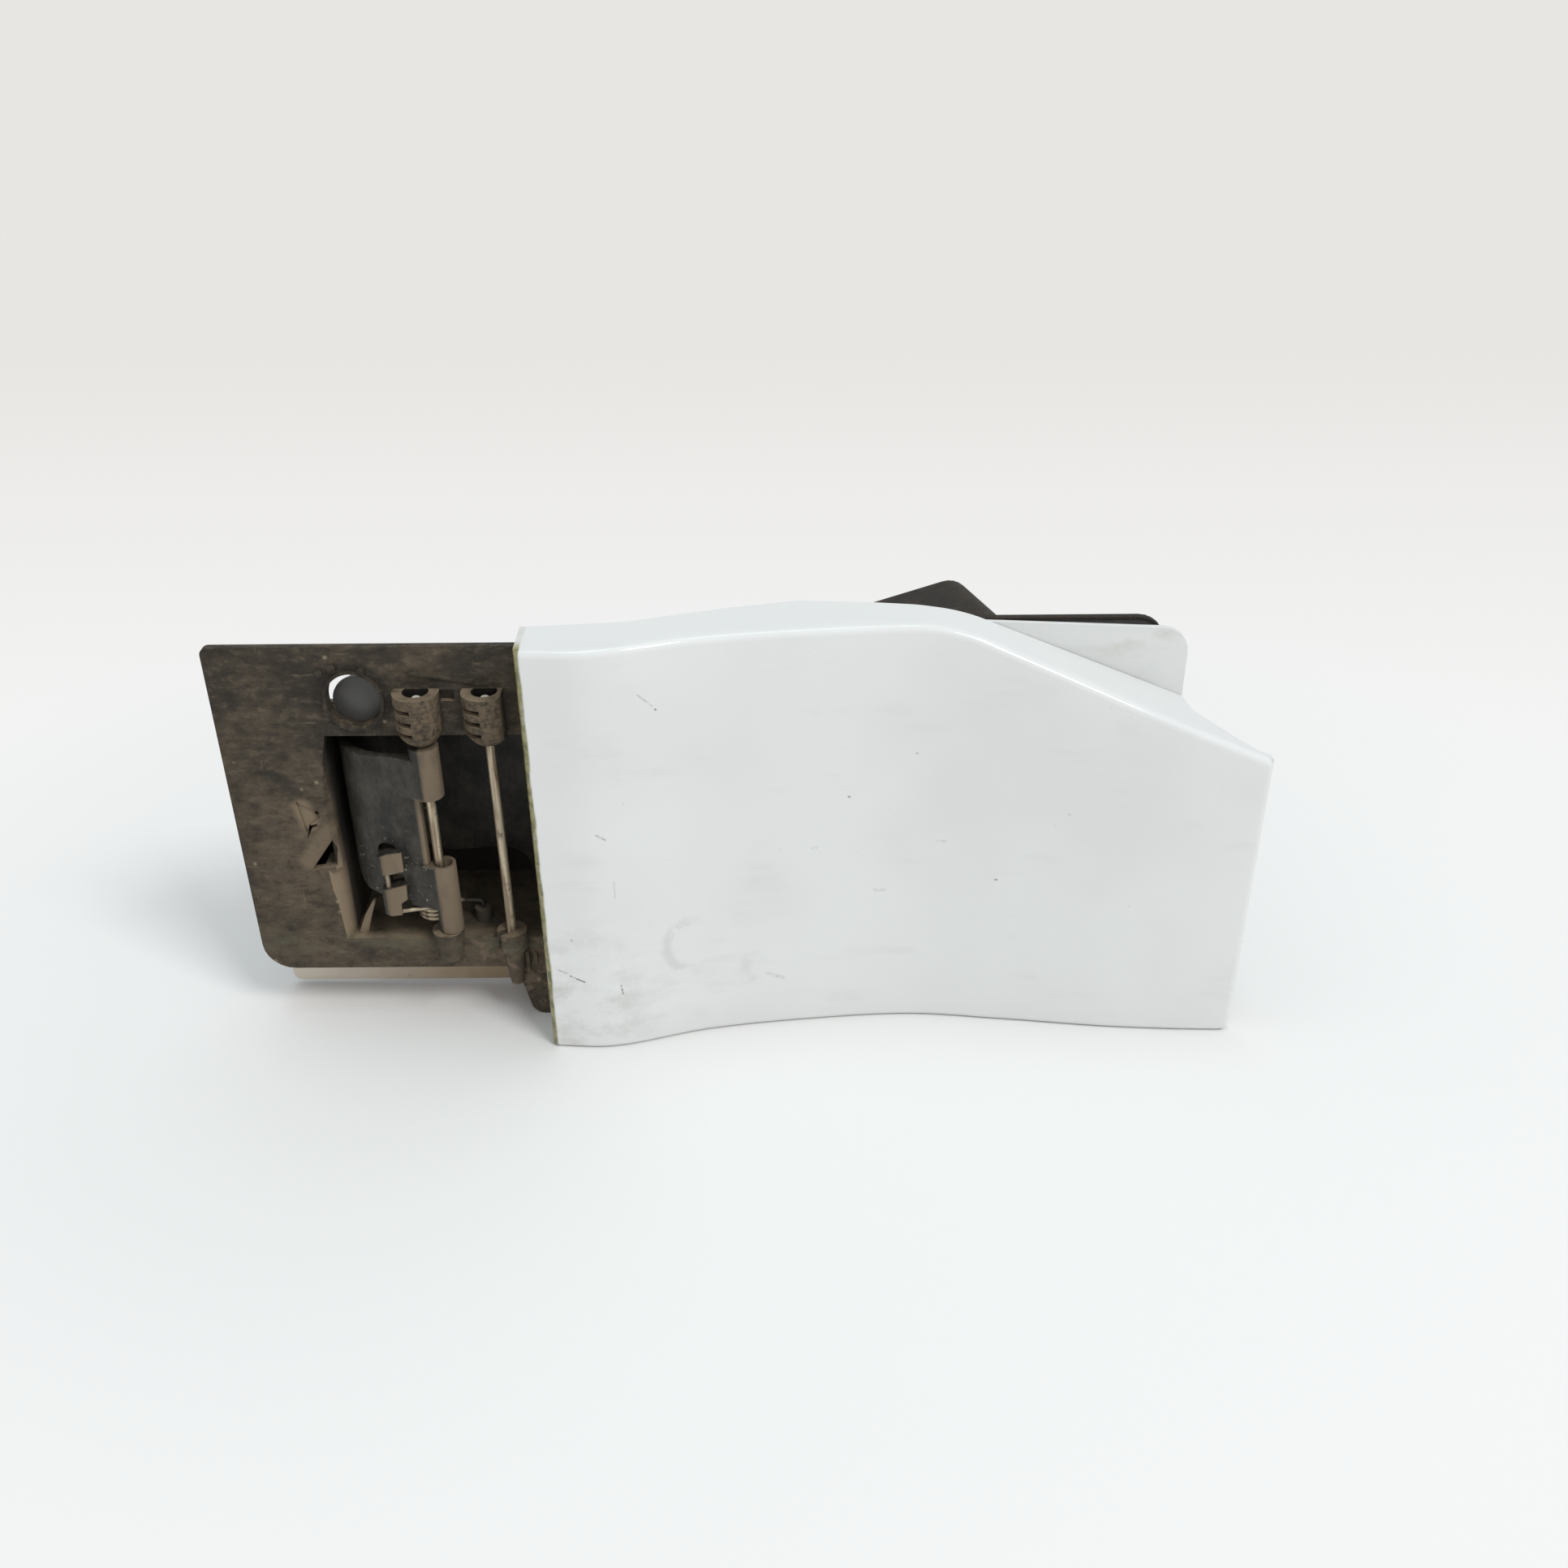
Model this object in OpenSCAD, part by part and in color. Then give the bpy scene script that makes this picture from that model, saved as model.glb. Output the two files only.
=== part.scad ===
// Fuel door of a van: a white painted flap on a gooseneck hinge, and the black moulded pocket that carries it.
// Millimetres. +X is right, +Y is into the car and +Z is up, seen from outside with the flap shut.
// The origin is the centre of the filler neck's hole, in the middle of the pocket's back wall.

/* [Flap] */
// Width of the flap, from its hinge end to its sharp end
flap_w = 232; // [228:1:240]
// Height of the flap at its hinge end
flap_h = 150; // [148:1:154]
// Thickness of the painted plastic skin
skin_t = 2.4; // [1.8:0.1:3]
// Radius of the skin's outer edges
edge_r = 3.2; // [2.6:0.2:4.2]
// Slope of the cut upper right edge, in degrees
cut_slope = 23; // [20:1:26]
// Drop of the cut edge, from the top edge to the sharp tip
cut_drop = 42.9; // [36:0.5:48]
// Radius where the top edge turns down into the cut
cut_bend_r = 60; // [40:5:80]
// How far the face is hollowed between the hinge end and the tip
face_hollow = 16; // [13:0.5:18]
// Depth of the return flange along the lower edge
lower_return = 12; // [8:1:13]

/* [Inner panel] */
// Thickness of the inner panel
panel_t = 1.5; // [1:0.1:2]
// How far the panel's tongue reaches past the cut edge, measured from the tip back to the left
tongue_inset = 25; // [20:1:30]

/* [Hinge] */
// Radius of the hinge pin and of the anchor rod
pin_r = 1.55; // [1.3:0.05:1.8]
// Radial running clearance of the arm's knuckles on the hinge pin
pin_clear = 0.06; // [0.03:0.01:0.1]
// Distance from the hinge pin to the anchor rod
rod_gap = 21.3; // [20:0.5:24]
// Thickness of the hinge arm
arm_t = 3; // [2.4:0.2:3.6]
// How far the gooseneck reaches behind the hinge pin
arm_depth = 34.8; // [32:0.4:36]
// How far the gooseneck reaches to the left of the hinge pin
arm_left = 29.8; // [27:0.4:30.6]
// How far right of the hinge pin the arm comes forward to the flap
arm_right = 46; // [42:0.5:48]
// Outer radius of the arm's knuckles
knuckle_r = 4.75; // [4.2:0.1:5]
// Upper edge of the arm above the origin
arm_top = 37.6; // [34:0.4:39]
// Angle through which the flap opens, in degrees
open_angle = 95; // [85:1:98]

/* [Spring] */
// Radius of the spring wire
wire_r = 0.75; // [0.5:0.05:0.8]
// Mean radius of the spring coil
coil_r = 6; // [5.5:0.1:6.2]
// Turns in the coil
coil_turns = 3; // [2:1:3]

/* [Pocket] */
// Wall thickness of the pocket moulding
wall = 2.5; // [2:0.1:3]
// Height of the raised hinge plate
plate_h = 122.4; // [120:0.4:124]
// Distance from the raised plate's left edge to its right-hand step
plate_w = 106.6; // [104:0.4:110]
// How far the raised plate stands in front of the rim
plate_rise = 17; // [16:0.5:18]
// Right edge of the rim, from the origin
rim_right = 91; // [88:0.5:94]
// Clear depth of the hinge bay behind the raised plate's front
bay_depth = 41; // [40:0.5:44]
// Depth of the filler bowl behind the rim's front
bowl_depth = 37; // [32:0.5:40]
// Turn of the filler bowl's outline, in degrees
bowl_turn = 18; // [14:1:22]
// Radius of the access hole in the raised plate
access_r = 8.6; // [8:0.1:9.5]

/* [Rubber] */
// Radius of the filler neck's hole in the rubber boot
neck_r = 27.5; // [25:0.5:29]
// Thickness of the boot's wall
boot_t = 3; // [2.5:0.1:3.5]
// How far the boot stands out behind the pocket
boot_reach = 10; // [6:0.5:14]
// Thickness of the foam seal on the rim
seal_t = 3.2; // [2.6:0.1:3.2]
// Width of the foam seal
seal_w = 5; // [4:0.5:6]

/* [Screws] */
// Radius of the arm's screws
arm_screw_r = 2; // [1.6:0.1:2.4]
// Radius of the inner panel's screws
panel_screw_r = 1.5; // [1.2:0.1:1.8]

/* [Hidden] */
fine_fn = 64;
small_fn = 32;
over = 1;  // how far a cut runs past the face it opens

// Heights, with the foot of the flap and of the pocket on one level
foot_z = -68;
flap_top = foot_z + flap_h;

// Fore-and-aft planes, from the front of the flap back to the boot
face_y = -73.3;
rim_y = -37;
plate_y = rim_y - plate_rise;
pin_y = plate_y - 2;
bay_back = plate_y + bay_depth;
bowl_back = rim_y + bowl_depth;
panel_gap = 0.2;  // between the shut panel and the seal
panel_y = rim_y - seal_t - panel_gap - panel_t;

// Side to side
flap_l = -109.5;
flap_r = flap_l + flap_w;
plate_l = -208.6;
plate_r = plate_l + plate_w;
pin_x = -143.7;
rod_x = pin_x + rod_gap;
rim_l = plate_l + 2;

// Raised plate
plate_top = flap_top - 7;
plate_bottom = plate_top - plate_h;
lug_top = plate_top - 14.4;
lug_bottom = plate_top - 33;

// A 2-D corner list with each corner rounded to its own radius, as one outline
function unit(v) = v / norm(v);
function corner_arc(a, p, b, r, n = 6) =
    r <= 0 ? [p] :
    let (
        u = unit(a - p),
        v = unit(b - p),
        between = acos(u * v),
        c = p + unit(u + v) * r / sin(between / 2),
        s = p + u * r / tan(between / 2) - c,
        turn = (u.x * v.y - u.y * v.x > 0 ? -1 : 1) * (180 - between)
    )
    [for (k = [0:n]) let (t = turn * k / n) c + [s.x * cos(t) - s.y * sin(t), s.x * sin(t) + s.y * cos(t)]];
function rounded(pts, radii) = let (n = len(pts))
    [for (i = [0:n - 1]) each corner_arc(pts[(i + n - 1) % n], pts[i], pts[(i + 1) % n], radii[i])];

// A strip of even thickness along a centre line
function strip_normal(p, i) = let (
        a = p[max(i - 1, 0)],
        b = p[min(i + 1, len(p) - 1)],
        d = unit(b - a)
    ) [-d.y, d.x];
function strip(p, t) = concat(
    [for (i = [0:len(p) - 1]) p[i] + strip_normal(p, i) * t / 2],
    [for (i = [len(p) - 1:-1:0]) p[i] - strip_normal(p, i) * t / 2]);
function arc_points(c, r, a0, a1, n) =
    [for (k = [0:n]) let (a = a0 + (a1 - a0) * k / n) c + r * [cos(a), sin(a)]];

// A smooth curve through control points, each [across, value], read at one place across
function hermite(p0, p1, m0, m1, h, t) =
    (2 * pow(t, 3) - 3 * t * t + 1) * p0 + (pow(t, 3) - 2 * t * t + t) * h * m0
    + (3 * t * t - 2 * pow(t, 3)) * p1 + (pow(t, 3) - t * t) * h * m1;
function knot_slope(k, i) = (i == 0 || i == len(k) - 1) ? 0
    : (k[i + 1].y - k[i - 1].y) / (k[i + 1].x - k[i - 1].x);
function curve_at(k, x) =
    x <= k[0].x ? k[0].y :
    x >= k[len(k) - 1].x ? k[len(k) - 1].y :
    let (i = max([for (j = [0:len(k) - 2]) if (k[j].x <= x) j]), h = k[i + 1].x - k[i].x)
    hermite(k[i].y, k[i + 1].y, knot_slope(k, i), knot_slope(k, i + 1), h, (x - k[i].x) / h);

// Prism of an outline drawn in X and Z, from y0 backwards by a depth
module slab(y0, depth) {
    translate([0, y0 + depth, 0]) rotate([90, 0, 0]) linear_extrude(depth) children();
}

// Upright prism of an outline drawn in X and Y
module upright(z0, z1) {
    translate([0, 0, z0]) linear_extrude(z1 - z0) children();
}

// Round body along Y
module round_y(r, y0, y1, fn = fine_fn) {
    translate([0, y1, 0]) rotate([90, 0, 0]) cylinder(r = r, h = y1 - y0, $fn = fn);
}

// Flap: set-back of the face behind its foremost plane, by distance from the hinge end.
// The face is flat at the hinge end, runs in at a slope, and is hollow across the middle.
hinge_flat_w = 25.5;
ramp_w = 27;
tip_setback = 6.1;
hollow_x = 122;
face_knots = [[0, 0.5], [hinge_flat_w - 4, 0], [hinge_flat_w + ramp_w, 0.53 * face_hollow],
    [hollow_x - 38, 0.83 * face_hollow], [hollow_x, face_hollow], [flap_w - 78, 0.8 * face_hollow],
    [flap_w - 39, 0.5 * face_hollow], [flap_w, tip_setback]];
function face_at(x) = face_y + curve_at(face_knots, x - flap_l);

// Upper edge of the flap at x, for an outline drawn in by an inset
cut_x = flap_r - cut_drop / tan(cut_slope);
bend_x = cut_x - cut_bend_r * tan(cut_slope / 2);
function top_at(x, inset) =
    let (r = cut_bend_r - inset, end = bend_x + r * sin(cut_slope))
    x <= bend_x ? flap_top - inset :
    x <= end ? flap_top - cut_bend_r + sqrt(r * r - pow(x - bend_x, 2)) :
    flap_top - inset / cos(cut_slope) - tan(cut_slope) * (x - cut_x);

// The face as a grid of x by z, with rounded edges, for an outline drawn in by an inset.
// Within the edge radius each row and column steps round the edge by equal angles.
edge_steps = 4;
face_columns = 34;
function round_in(k) = 1 - cos(90 * k / edge_steps);
function block_columns(inset, r) = concat(
    [for (k = [0:edge_steps]) [flap_l + inset + r * round_in(k), cos(90 * k / edge_steps)]],
    [for (i = [1:face_columns - 1])
        [flap_l + inset + r + (flap_w - 2 * inset - 2 * r) * i / face_columns, 0]],
    [for (k = [edge_steps:-1:0]) [flap_r - inset - r * round_in(k), cos(90 * k / edge_steps)]]);
function block_rows() = concat(
    [for (k = [0:edge_steps]) [-1, k]],
    [for (k = [edge_steps:-1:0]) [1, k]]);
function block_point(col, row, inset, r, gap) =
    let (
        d = r * round_in(row[1]),
        z = row[0] < 0 ? foot_z + inset + d : top_at(col[0], inset + d),
        lean = pow(col[1], 2) + pow(cos(90 * row[1] / edge_steps), 2),
        set = r * (1 - sqrt(max(0, 1 - lean)))
    )
    [col[0], face_at(col[0]) + gap + set, z];

// How far behind the foremost plane the returns end, by distance from the hinge end.
// Along the cut edge they stop short of the inner panel, and at the tip only the face's own edge is left.
panel_seat = panel_y - 0.3;
return_knots = [[0, 17.9], [31.5, 20.7], [43.5, 24.7], [63, 30.6], [84.3, 35.4], [108, 33.6],
    [126, panel_seat - face_y], [flap_w - 24.5, panel_seat - face_y], [flap_w - 24, 23.3],
    [flap_w - 12, 14.5], [flap_w, 8.3]];
function return_end(x, lower) = max(face_at(x) + 2 * skin_t,
    lower ? face_at(x) + lower_return : face_y + lookup(x - flap_l, return_knots));

// The skin as one loft: the face's grid, its sides back to the returns' ends, and the same again inside
inner_edge_r = edge_r - skin_t + 0.6;
module skin_shell() {
    rows = block_rows();
    out_cols = block_columns(0, edge_r);
    in_cols = block_columns(skin_t, inner_edge_r);
    nx = len(out_cols);
    nz = len(rows);
    rim = concat([for (i = [0:nx - 1]) i], [for (j = [1:nz - 1]) j * nx + nx - 1],
        [for (i = [nx - 2:-1:0]) (nz - 1) * nx + i], [for (j = [nz - 2:-1:1]) j * nx]);
    nr = len(rim);
    face_out = [for (row = rows) each [for (col = out_cols) block_point(col, row, 0, edge_r, 0)]];
    face_in = [for (row = rows) each [for (col = in_cols) block_point(col, row, skin_t, inner_edge_r, skin_t)]];
    end_out = [for (k = rim) [face_out[k].x, return_end(face_out[k].x, k < nx), face_out[k].z]];
    end_in = [for (n = [0:nr - 1]) [face_in[rim[n]].x, end_out[n].y, face_in[rim[n]].z]];
    b_in = nx * nz;
    e_out = 2 * nx * nz;
    e_in = e_out + nr;
    polyhedron(
        points = concat(face_out, face_in, end_out, end_in),
        faces = concat(
            [for (j = [0:nz - 2], i = [0:nx - 2]) [j * nx + i, (j + 1) * nx + i, (j + 1) * nx + i + 1]],
            [for (j = [0:nz - 2], i = [0:nx - 2]) [j * nx + i, (j + 1) * nx + i + 1, j * nx + i + 1]],
            [for (j = [0:nz - 2], i = [0:nx - 2])
                [b_in + j * nx + i, b_in + (j + 1) * nx + i + 1, b_in + (j + 1) * nx + i]],
            [for (j = [0:nz - 2], i = [0:nx - 2])
                [b_in + j * nx + i, b_in + j * nx + i + 1, b_in + (j + 1) * nx + i + 1]],
            [for (k = [0:nr - 1]) let (m = (k + 1) % nr) each [
                [rim[k], rim[m], e_out + m], [rim[k], e_out + m, e_out + k],
                [e_out + k, e_out + m, e_in + m], [e_out + k, e_in + m, e_in + k],
                [e_in + k, e_in + m, b_in + rim[m]], [e_in + k, b_in + rim[m], b_in + rim[k]]]]
        )
    );
}

// Bosses on the back of the skin
arm_foot_gap = 4;
foot_y = face_y + skin_t + arm_foot_gap;
foot_screw_x = pin_x + arm_right + 6.3;
foot_screw_z = [arm_top - 10, arm_top - 32, arm_top - 54];
panel_screw_at = [[-32, flap_top - 20], [-32, foot_z + 16], [66, flap_top - 40], [66, foot_z + 16]];
boss_wall = 2.6;
panel_screw_depth = 8;

module outer_skin() {
    color("#e9edee") {
        skin_shell();
        for (z = foot_screw_z) translate([foot_screw_x, 0, z]) difference() {
            round_y(arm_screw_r + boss_wall, face_y + skin_t - 0.5, foot_y, small_fn);
            round_y(arm_screw_r, face_y + skin_t + 0.3, foot_y + over, small_fn);
        }
        for (p = panel_screw_at) translate([p.x, 0, p.y]) difference() {
            round_y(panel_screw_r + boss_wall, face_at(p.x) + skin_t - 0.6, panel_y, small_fn);
            round_y(panel_screw_r, panel_y - panel_screw_depth, panel_y + over, small_fn);
        }
    }
}

// Inner panel: one bent sheet, from its bonding strip on the skin back to the flat behind the hollow
panel_l = flap_l + 30;
ramp_end_x = flap_l + 64;
tongue_r = flap_r - tongue_inset;
panel_top = flap_top - skin_t - 2.3;
tongue_slope = 2.55;
tongue_corner_r = 9;
function panel_plan() = concat(
    [for (i = [0:4]) let (x = panel_l + 3 * i) [x, face_at(x) + skin_t + panel_t / 2 + 0.1]],
    [[ramp_end_x, panel_y + panel_t / 2], [tongue_r, panel_y + panel_t / 2]]);

module inner_panel() {
    color("#dfe6e8") difference() {
        intersection() {
            upright(foot_z, flap_top) polygon(strip(panel_plan(), panel_t));
            slab(face_y, rim_y - face_y) polygon(rounded(
                [[panel_l, foot_z + skin_t + 1.2], [tongue_r, foot_z + skin_t + 1.2],
                    [tongue_r, panel_top - sin(tongue_slope) * (tongue_r - bend_x)],
                    [bend_x, panel_top], [panel_l, panel_top]],
                [4, 12, tongue_corner_r, 0, 4]));
        }
        // Room over the shallow lower return
        for (p = panel_screw_at) translate([p.x, 0, p.y])
            round_y(panel_screw_r + 0.2, panel_y - over, panel_y + panel_t + over, small_fn);
    }
}

// Hinge arm: a gooseneck that runs left from the pin, round behind it and forward to the flap.
// Its plan is drawn from the pin's axis.
neck_front = 1.2;  // from the pin's axis back to the middle of the neck's front wall
neck_bend_r = (arm_depth - neck_front) / 2;
elbow_r = 16;
neck_c = [neck_bend_r - arm_left, arm_depth - neck_bend_r];
elbow_c = [arm_right - elbow_r, arm_depth - elbow_r];
arm_bottom = -15.5;
web_bottom = -29;
foot_plate_t = 3;
arm_end = foot_y + foot_plate_t - pin_y;
knuckle_low = [-29.2, -2.9];
knuckle_high = [lug_bottom - 18.7, lug_bottom - 0.3];
barrel_r = knuckle_r - 0.65;  // of the lower knuckle, which sits off the pin to its right
barrel_shift = 1.3;
mouth_depth = 5;
plate_edge = 3.2;
function arm_plan() = concat(
    [[-plate_edge, neck_c.y - neck_bend_r * cos(8) - sin(8) * (-plate_edge - neck_c.x)]],
    arc_points(neck_c, neck_bend_r, 262, 90, 18),
    arc_points(elbow_c, elbow_r, 90, 0, 9),
    [[arm_right, arm_end - foot_plate_t / 2]]);

// Stop rib inside the gooseneck, which meets the anchor rod when the flap is fully open
stop_rib_t = 3;
stop_gap = 0.3;
stop_rib_z = [24, 34];
stop_angle = open_angle + asin((pin_r + stop_rib_t / 2 + stop_gap) / rod_gap);

// Clips on the arm that hold the upright end of the spring: one plan, and an outline for each
clip_front = -3.6;
clip_l = -19.8;
clip_r = -11.2;
clip_plan = [[clip_l, 2.5], [clip_l, -1.9], [clip_l + 2.5, clip_front], [clip_r, clip_front], [clip_r, 2.5]];
clip_high = [[clip_l, -6.3], [clip_r, -4], [clip_r, 3], [clip_l + 3.3, 2.2], [clip_l, 0.8]];
clip_low = [[clip_l, -22.2], [-13.9, -21.4], [-13.7, -16.9], [clip_r - 0.2, -15.2], [clip_r, -9.7], [clip_l, -12.2]];
oval_at = [-16.5, 1.6];
oval_r = 3.4;

// Lower edge of the neck, the front plate and the rear web, from left to right
arm_foot = [[-60, arm_bottom], [-14, arm_bottom - 0.8], [-11.4, -17.2], [-3.2, -19.6], [10, -18.6], [24, -18.6]];

module arm_outline_cuts() {
    slab(-60, 120) polygon(rounded(concat([[-60, web_bottom - over], [24, web_bottom - over]],
        [for (k = [len(arm_foot) - 1:-1:0]) arm_foot[k]]), [0, 0, 8.5, 0, 1, 1, 1, 0]));
    // Rounded lower left corner
    slab(-60, 100) difference() {
        translate([-60, arm_bottom - over]) square([60 - arm_left + 3, 4 + over]);
        translate([4 - arm_left, arm_bottom + 4]) circle(r = 4, $fn = small_fn);
    }
    // Oval hole above the upper clip, and the gap beside the bare wire between the clips
    translate([oval_at.x, 6, oval_at.y]) rotate([90, 0, 0]) cylinder(r = oval_r, h = 12, $fn = small_fn);
    slab(-4, 9) polygon([[-17, -12.4], [-12.2, -11.4], [-12.2, -7.4], [-17, -7.2]]);
}

// Clip: its plan and its outline, each taken through the other
module clip(outline) {
    intersection() {
        upright(web_bottom, arm_top) polygon(clip_plan);
        slab(clip_front - over, 10) polygon(outline);
    }
}

// Web from a knuckle to the neck's plate, flush with the front of the barrel
module knuckle_web(shift, r) {
    polygon([[-11, 1], [-11, -0.3], [shift - 1.2, 0.15 - r], [shift, 0.05 - r], [shift, 1]]);
}

module hinge_arm() {
    color("#3a3a3a") translate([pin_x, pin_y, 0]) difference() {
        union() {
            difference() {
                union() {
                    upright(web_bottom, arm_top) polygon(strip(arm_plan(), arm_t));
                    // Raised bump on the rear web's upper edge
                    translate([-8, arm_depth - arm_t / 2, arm_top]) rotate([-90, 0, 0])
                        cylinder(r = 4, h = arm_t, $fn = small_fn);
                }
                arm_outline_cuts();
            }
            // Knuckles, with a web from each to the neck's plate
            upright(knuckle_low[0], knuckle_low[1]) translate([barrel_shift, 0]) circle(r = barrel_r, $fn = fine_fn);
            upright(arm_foot[3].y, knuckle_low[1]) knuckle_web(barrel_shift, barrel_r);
            upright(knuckle_high[0], knuckle_high[1]) circle(r = knuckle_r, $fn = fine_fn);
            upright(knuckle_high[0], arm_top) knuckle_web(0, knuckle_r);
            // Clips for the spring's end
            clip(clip_high);
            clip(clip_low);
            // Stop rib
            upright(stop_rib_z[0], stop_rib_z[1]) rotate(stop_angle)
                translate([rod_gap - pin_r - 1.5, -stop_rib_t / 2]) square([arm_depth - rod_gap + pin_r + 2.5, stop_rib_t]);
            // Foot plate on the skin's bosses
            difference() {
                translate([0, foot_y - pin_y, 0]) slab(0, foot_plate_t) polygon(rounded(
                    [[arm_right - 7, foot_screw_z[2] - 7], [arm_right + 11.5, foot_screw_z[2] - 7],
                        [arm_right + 11.5, arm_top - 2], [arm_right - 7, arm_top - 2]], [4, 4, 4, 4]));
                for (z = foot_screw_z) translate([foot_screw_x - pin_x, 0, z])
                    round_y(arm_screw_r + 0.25, foot_y - pin_y - over, foot_y - pin_y + foot_plate_t + over, small_fn);
            }
            // Gussets between the foot plate and the neck
            for (z = [foot_screw_z[0] - 11, foot_screw_z[1] - 11]) translate([0, 0, z - 1])
                linear_extrude(2) polygon([[arm_right, arm_end - 1], [arm_right + 8, arm_end - 1],
                    [arm_right, arm_end + 12]]);
        }
        // Pin bore through both knuckles, and the wide mouth at the top of the lower one
        translate([0, 0, knuckle_low[0] - over])
            cylinder(r = pin_r + pin_clear, h = knuckle_high[1] - knuckle_low[0] + 2 * over, $fn = fine_fn);
        translate([barrel_shift, 0, knuckle_low[1] - mouth_depth])
            cylinder(r = barrel_r - 1.1, h = mouth_depth + over, $fn = fine_fn);
        // Relief behind the lower knuckle for the spring coil
        translate([coil_c.x, coil_c.y, coil_top - coil_turns * coil_pitch - 1.4])
            cylinder(r = coil_r + wire_r + 0.3, h = coil_turns * coil_pitch + 2.8, $fn = fine_fn);
        // Bore for the spring's upright end
        translate([wire_x, spring_end_y, clip_low[0].y - over])
            cylinder(r = wire_r + 0.15, h = wire_top + 0.4 + over - clip_low[0].y, $fn = small_fn);
        // Slot from the lower clip to the coil, where the wire leaves
        translate([wire_x, spring_end_y - wire_r - 0.2, coil_top - 1])
            cube([12, 2 * wire_r + 2.4, 2.2]);
    }
}

// Spring: an upright end in the arm's clips, a straight leg, the coil behind the lower knuckle,
// and a leg into the lug on the bay's floor. The path is drawn from the pin's axis.
coil_c = [-4.2, coil_r + 1.6];
coil_top = -21.6;
coil_pitch = 2 * wire_r + 0.15;
coil_steps = 20;
spring_end_y = -1.6;
wire_x = -17.4;
wire_top = 0.9;
lug_at = [9.5, coil_c.y + coil_r];
leg_reach = norm(coil_c - [wire_x, spring_end_y]);
leg_angle = atan2(coil_c.y - spring_end_y, coil_c.x - wire_x) - asin(coil_r / leg_reach);
function coil_point(k) = let (a = leg_angle - 90 - 360 * k / coil_steps)
    [coil_c.x + coil_r * cos(a), coil_c.y + coil_r * sin(a), coil_top - coil_pitch * k / coil_steps];
coil_end_k = floor(coil_steps * (coil_turns + (leg_angle + 180) / 360));
coil_bottom = coil_top - coil_pitch * coil_end_k / coil_steps;
function spring_path() = concat(
    [[wire_x, spring_end_y, wire_top], [wire_x, spring_end_y, coil_top + 1.6],
        [wire_x + 0.4, spring_end_y + 0.05, coil_top + 0.4],
        [wire_x + 1.6, spring_end_y + 1.6 * tan(leg_angle), coil_top]],
    [for (k = [0:coil_end_k]) coil_point(k)],
    [[lug_at.x - 1, lug_at.y, coil_bottom - 0.1], [lug_at.x - 0.3, lug_at.y, coil_bottom - 0.6],
        [lug_at.x, lug_at.y, coil_bottom - 1.6], [lug_at.x, lug_at.y, coil_bottom - 5]]);

// Round wire along a path
module wire(path, r, sides) {
    n = len(path);
    function along(i) = unit(path[min(i + 1, n - 1)] - path[max(i - 1, 0)]);
    function side(i) = let (d = along(i)) abs(d.z) > 0.9 ? unit(cross(d, [0, 1, 0])) : unit(cross(d, [0, 0, 1]));
    pts = [for (i = [0:n - 1]) let (s = side(i), u = cross(s, along(i)))
        each [for (j = [0:sides - 1]) path[i] + r * (s * cos(360 * j / sides) + u * sin(360 * j / sides))]];
    polyhedron(points = pts, faces = concat(
        [[for (j = [sides - 1:-1:0]) j]],
        [for (i = [0:n - 2], j = [0:sides - 1])
            [i * sides + j, (i + 1) * sides + (j + 1) % sides, (i + 1) * sides + j]],
        [for (i = [0:n - 2], j = [0:sides - 1])
            [i * sides + j, i * sides + (j + 1) % sides, (i + 1) * sides + (j + 1) % sides]],
        [[for (j = [0:sides - 1]) (n - 1) * sides + j]]));
}

module torsion_spring() {
    color("#8d8778") translate([pin_x, pin_y, 0]) wire(spring_path(), wire_r, 8);
}

// Pins
pin_top = plate_top - 16.3;
pin_foot = -41;
rod_foot = -37;
pin_chamfer = 0.4;

module pin(x, z0) {
    translate([x, pin_y, z0]) rotate_extrude($fn = fine_fn) polygon([[0, 0], [pin_r - pin_chamfer, 0],
        [pin_r, pin_chamfer], [pin_r, pin_top - z0 - pin_chamfer], [pin_r - pin_chamfer, pin_top - z0],
        [0, pin_top - z0]]);
}
module hinge_pin() color("#9a9588") pin(pin_x, pin_foot);
module anchor_rod() color("#9a9588") pin(rod_x, rod_foot);

// Pocket outlines, in X and Z
bay_l = pin_x - arm_left - arm_t / 2 - 2;
bay_r = pin_x + arm_right + 15.7;
bay_bottom = -35;
bay_top = plate_top - 31;
rear_top = plate_top - 13;
shelf_top = plate_top - 5;  // rim and side wall behind the flap, where they stay out of sight
step_x = plate_r - 20.7;
rim_lift = 2.4;  // of the rim's foot, left of the plate's step
shelf_end = -38;  // where the rim's top edge comes up into sight
notch_x = [-190, -168];  // in the rim, behind the access hole
plate_corner_r = 10;
function plate_outline(inset) = rounded(
    [[plate_l + inset, plate_top - inset], [plate_l + inset, plate_bottom + inset],
        [step_x + inset * 0.8, plate_bottom + inset], [step_x + 4.7 + inset * 0.8, foot_z + inset],
        [plate_r - inset, foot_z + inset], [plate_r - inset, plate_top - inset]],
    [2.5, plate_corner_r - inset, 1, 5 - inset, 0, 0]);

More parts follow.
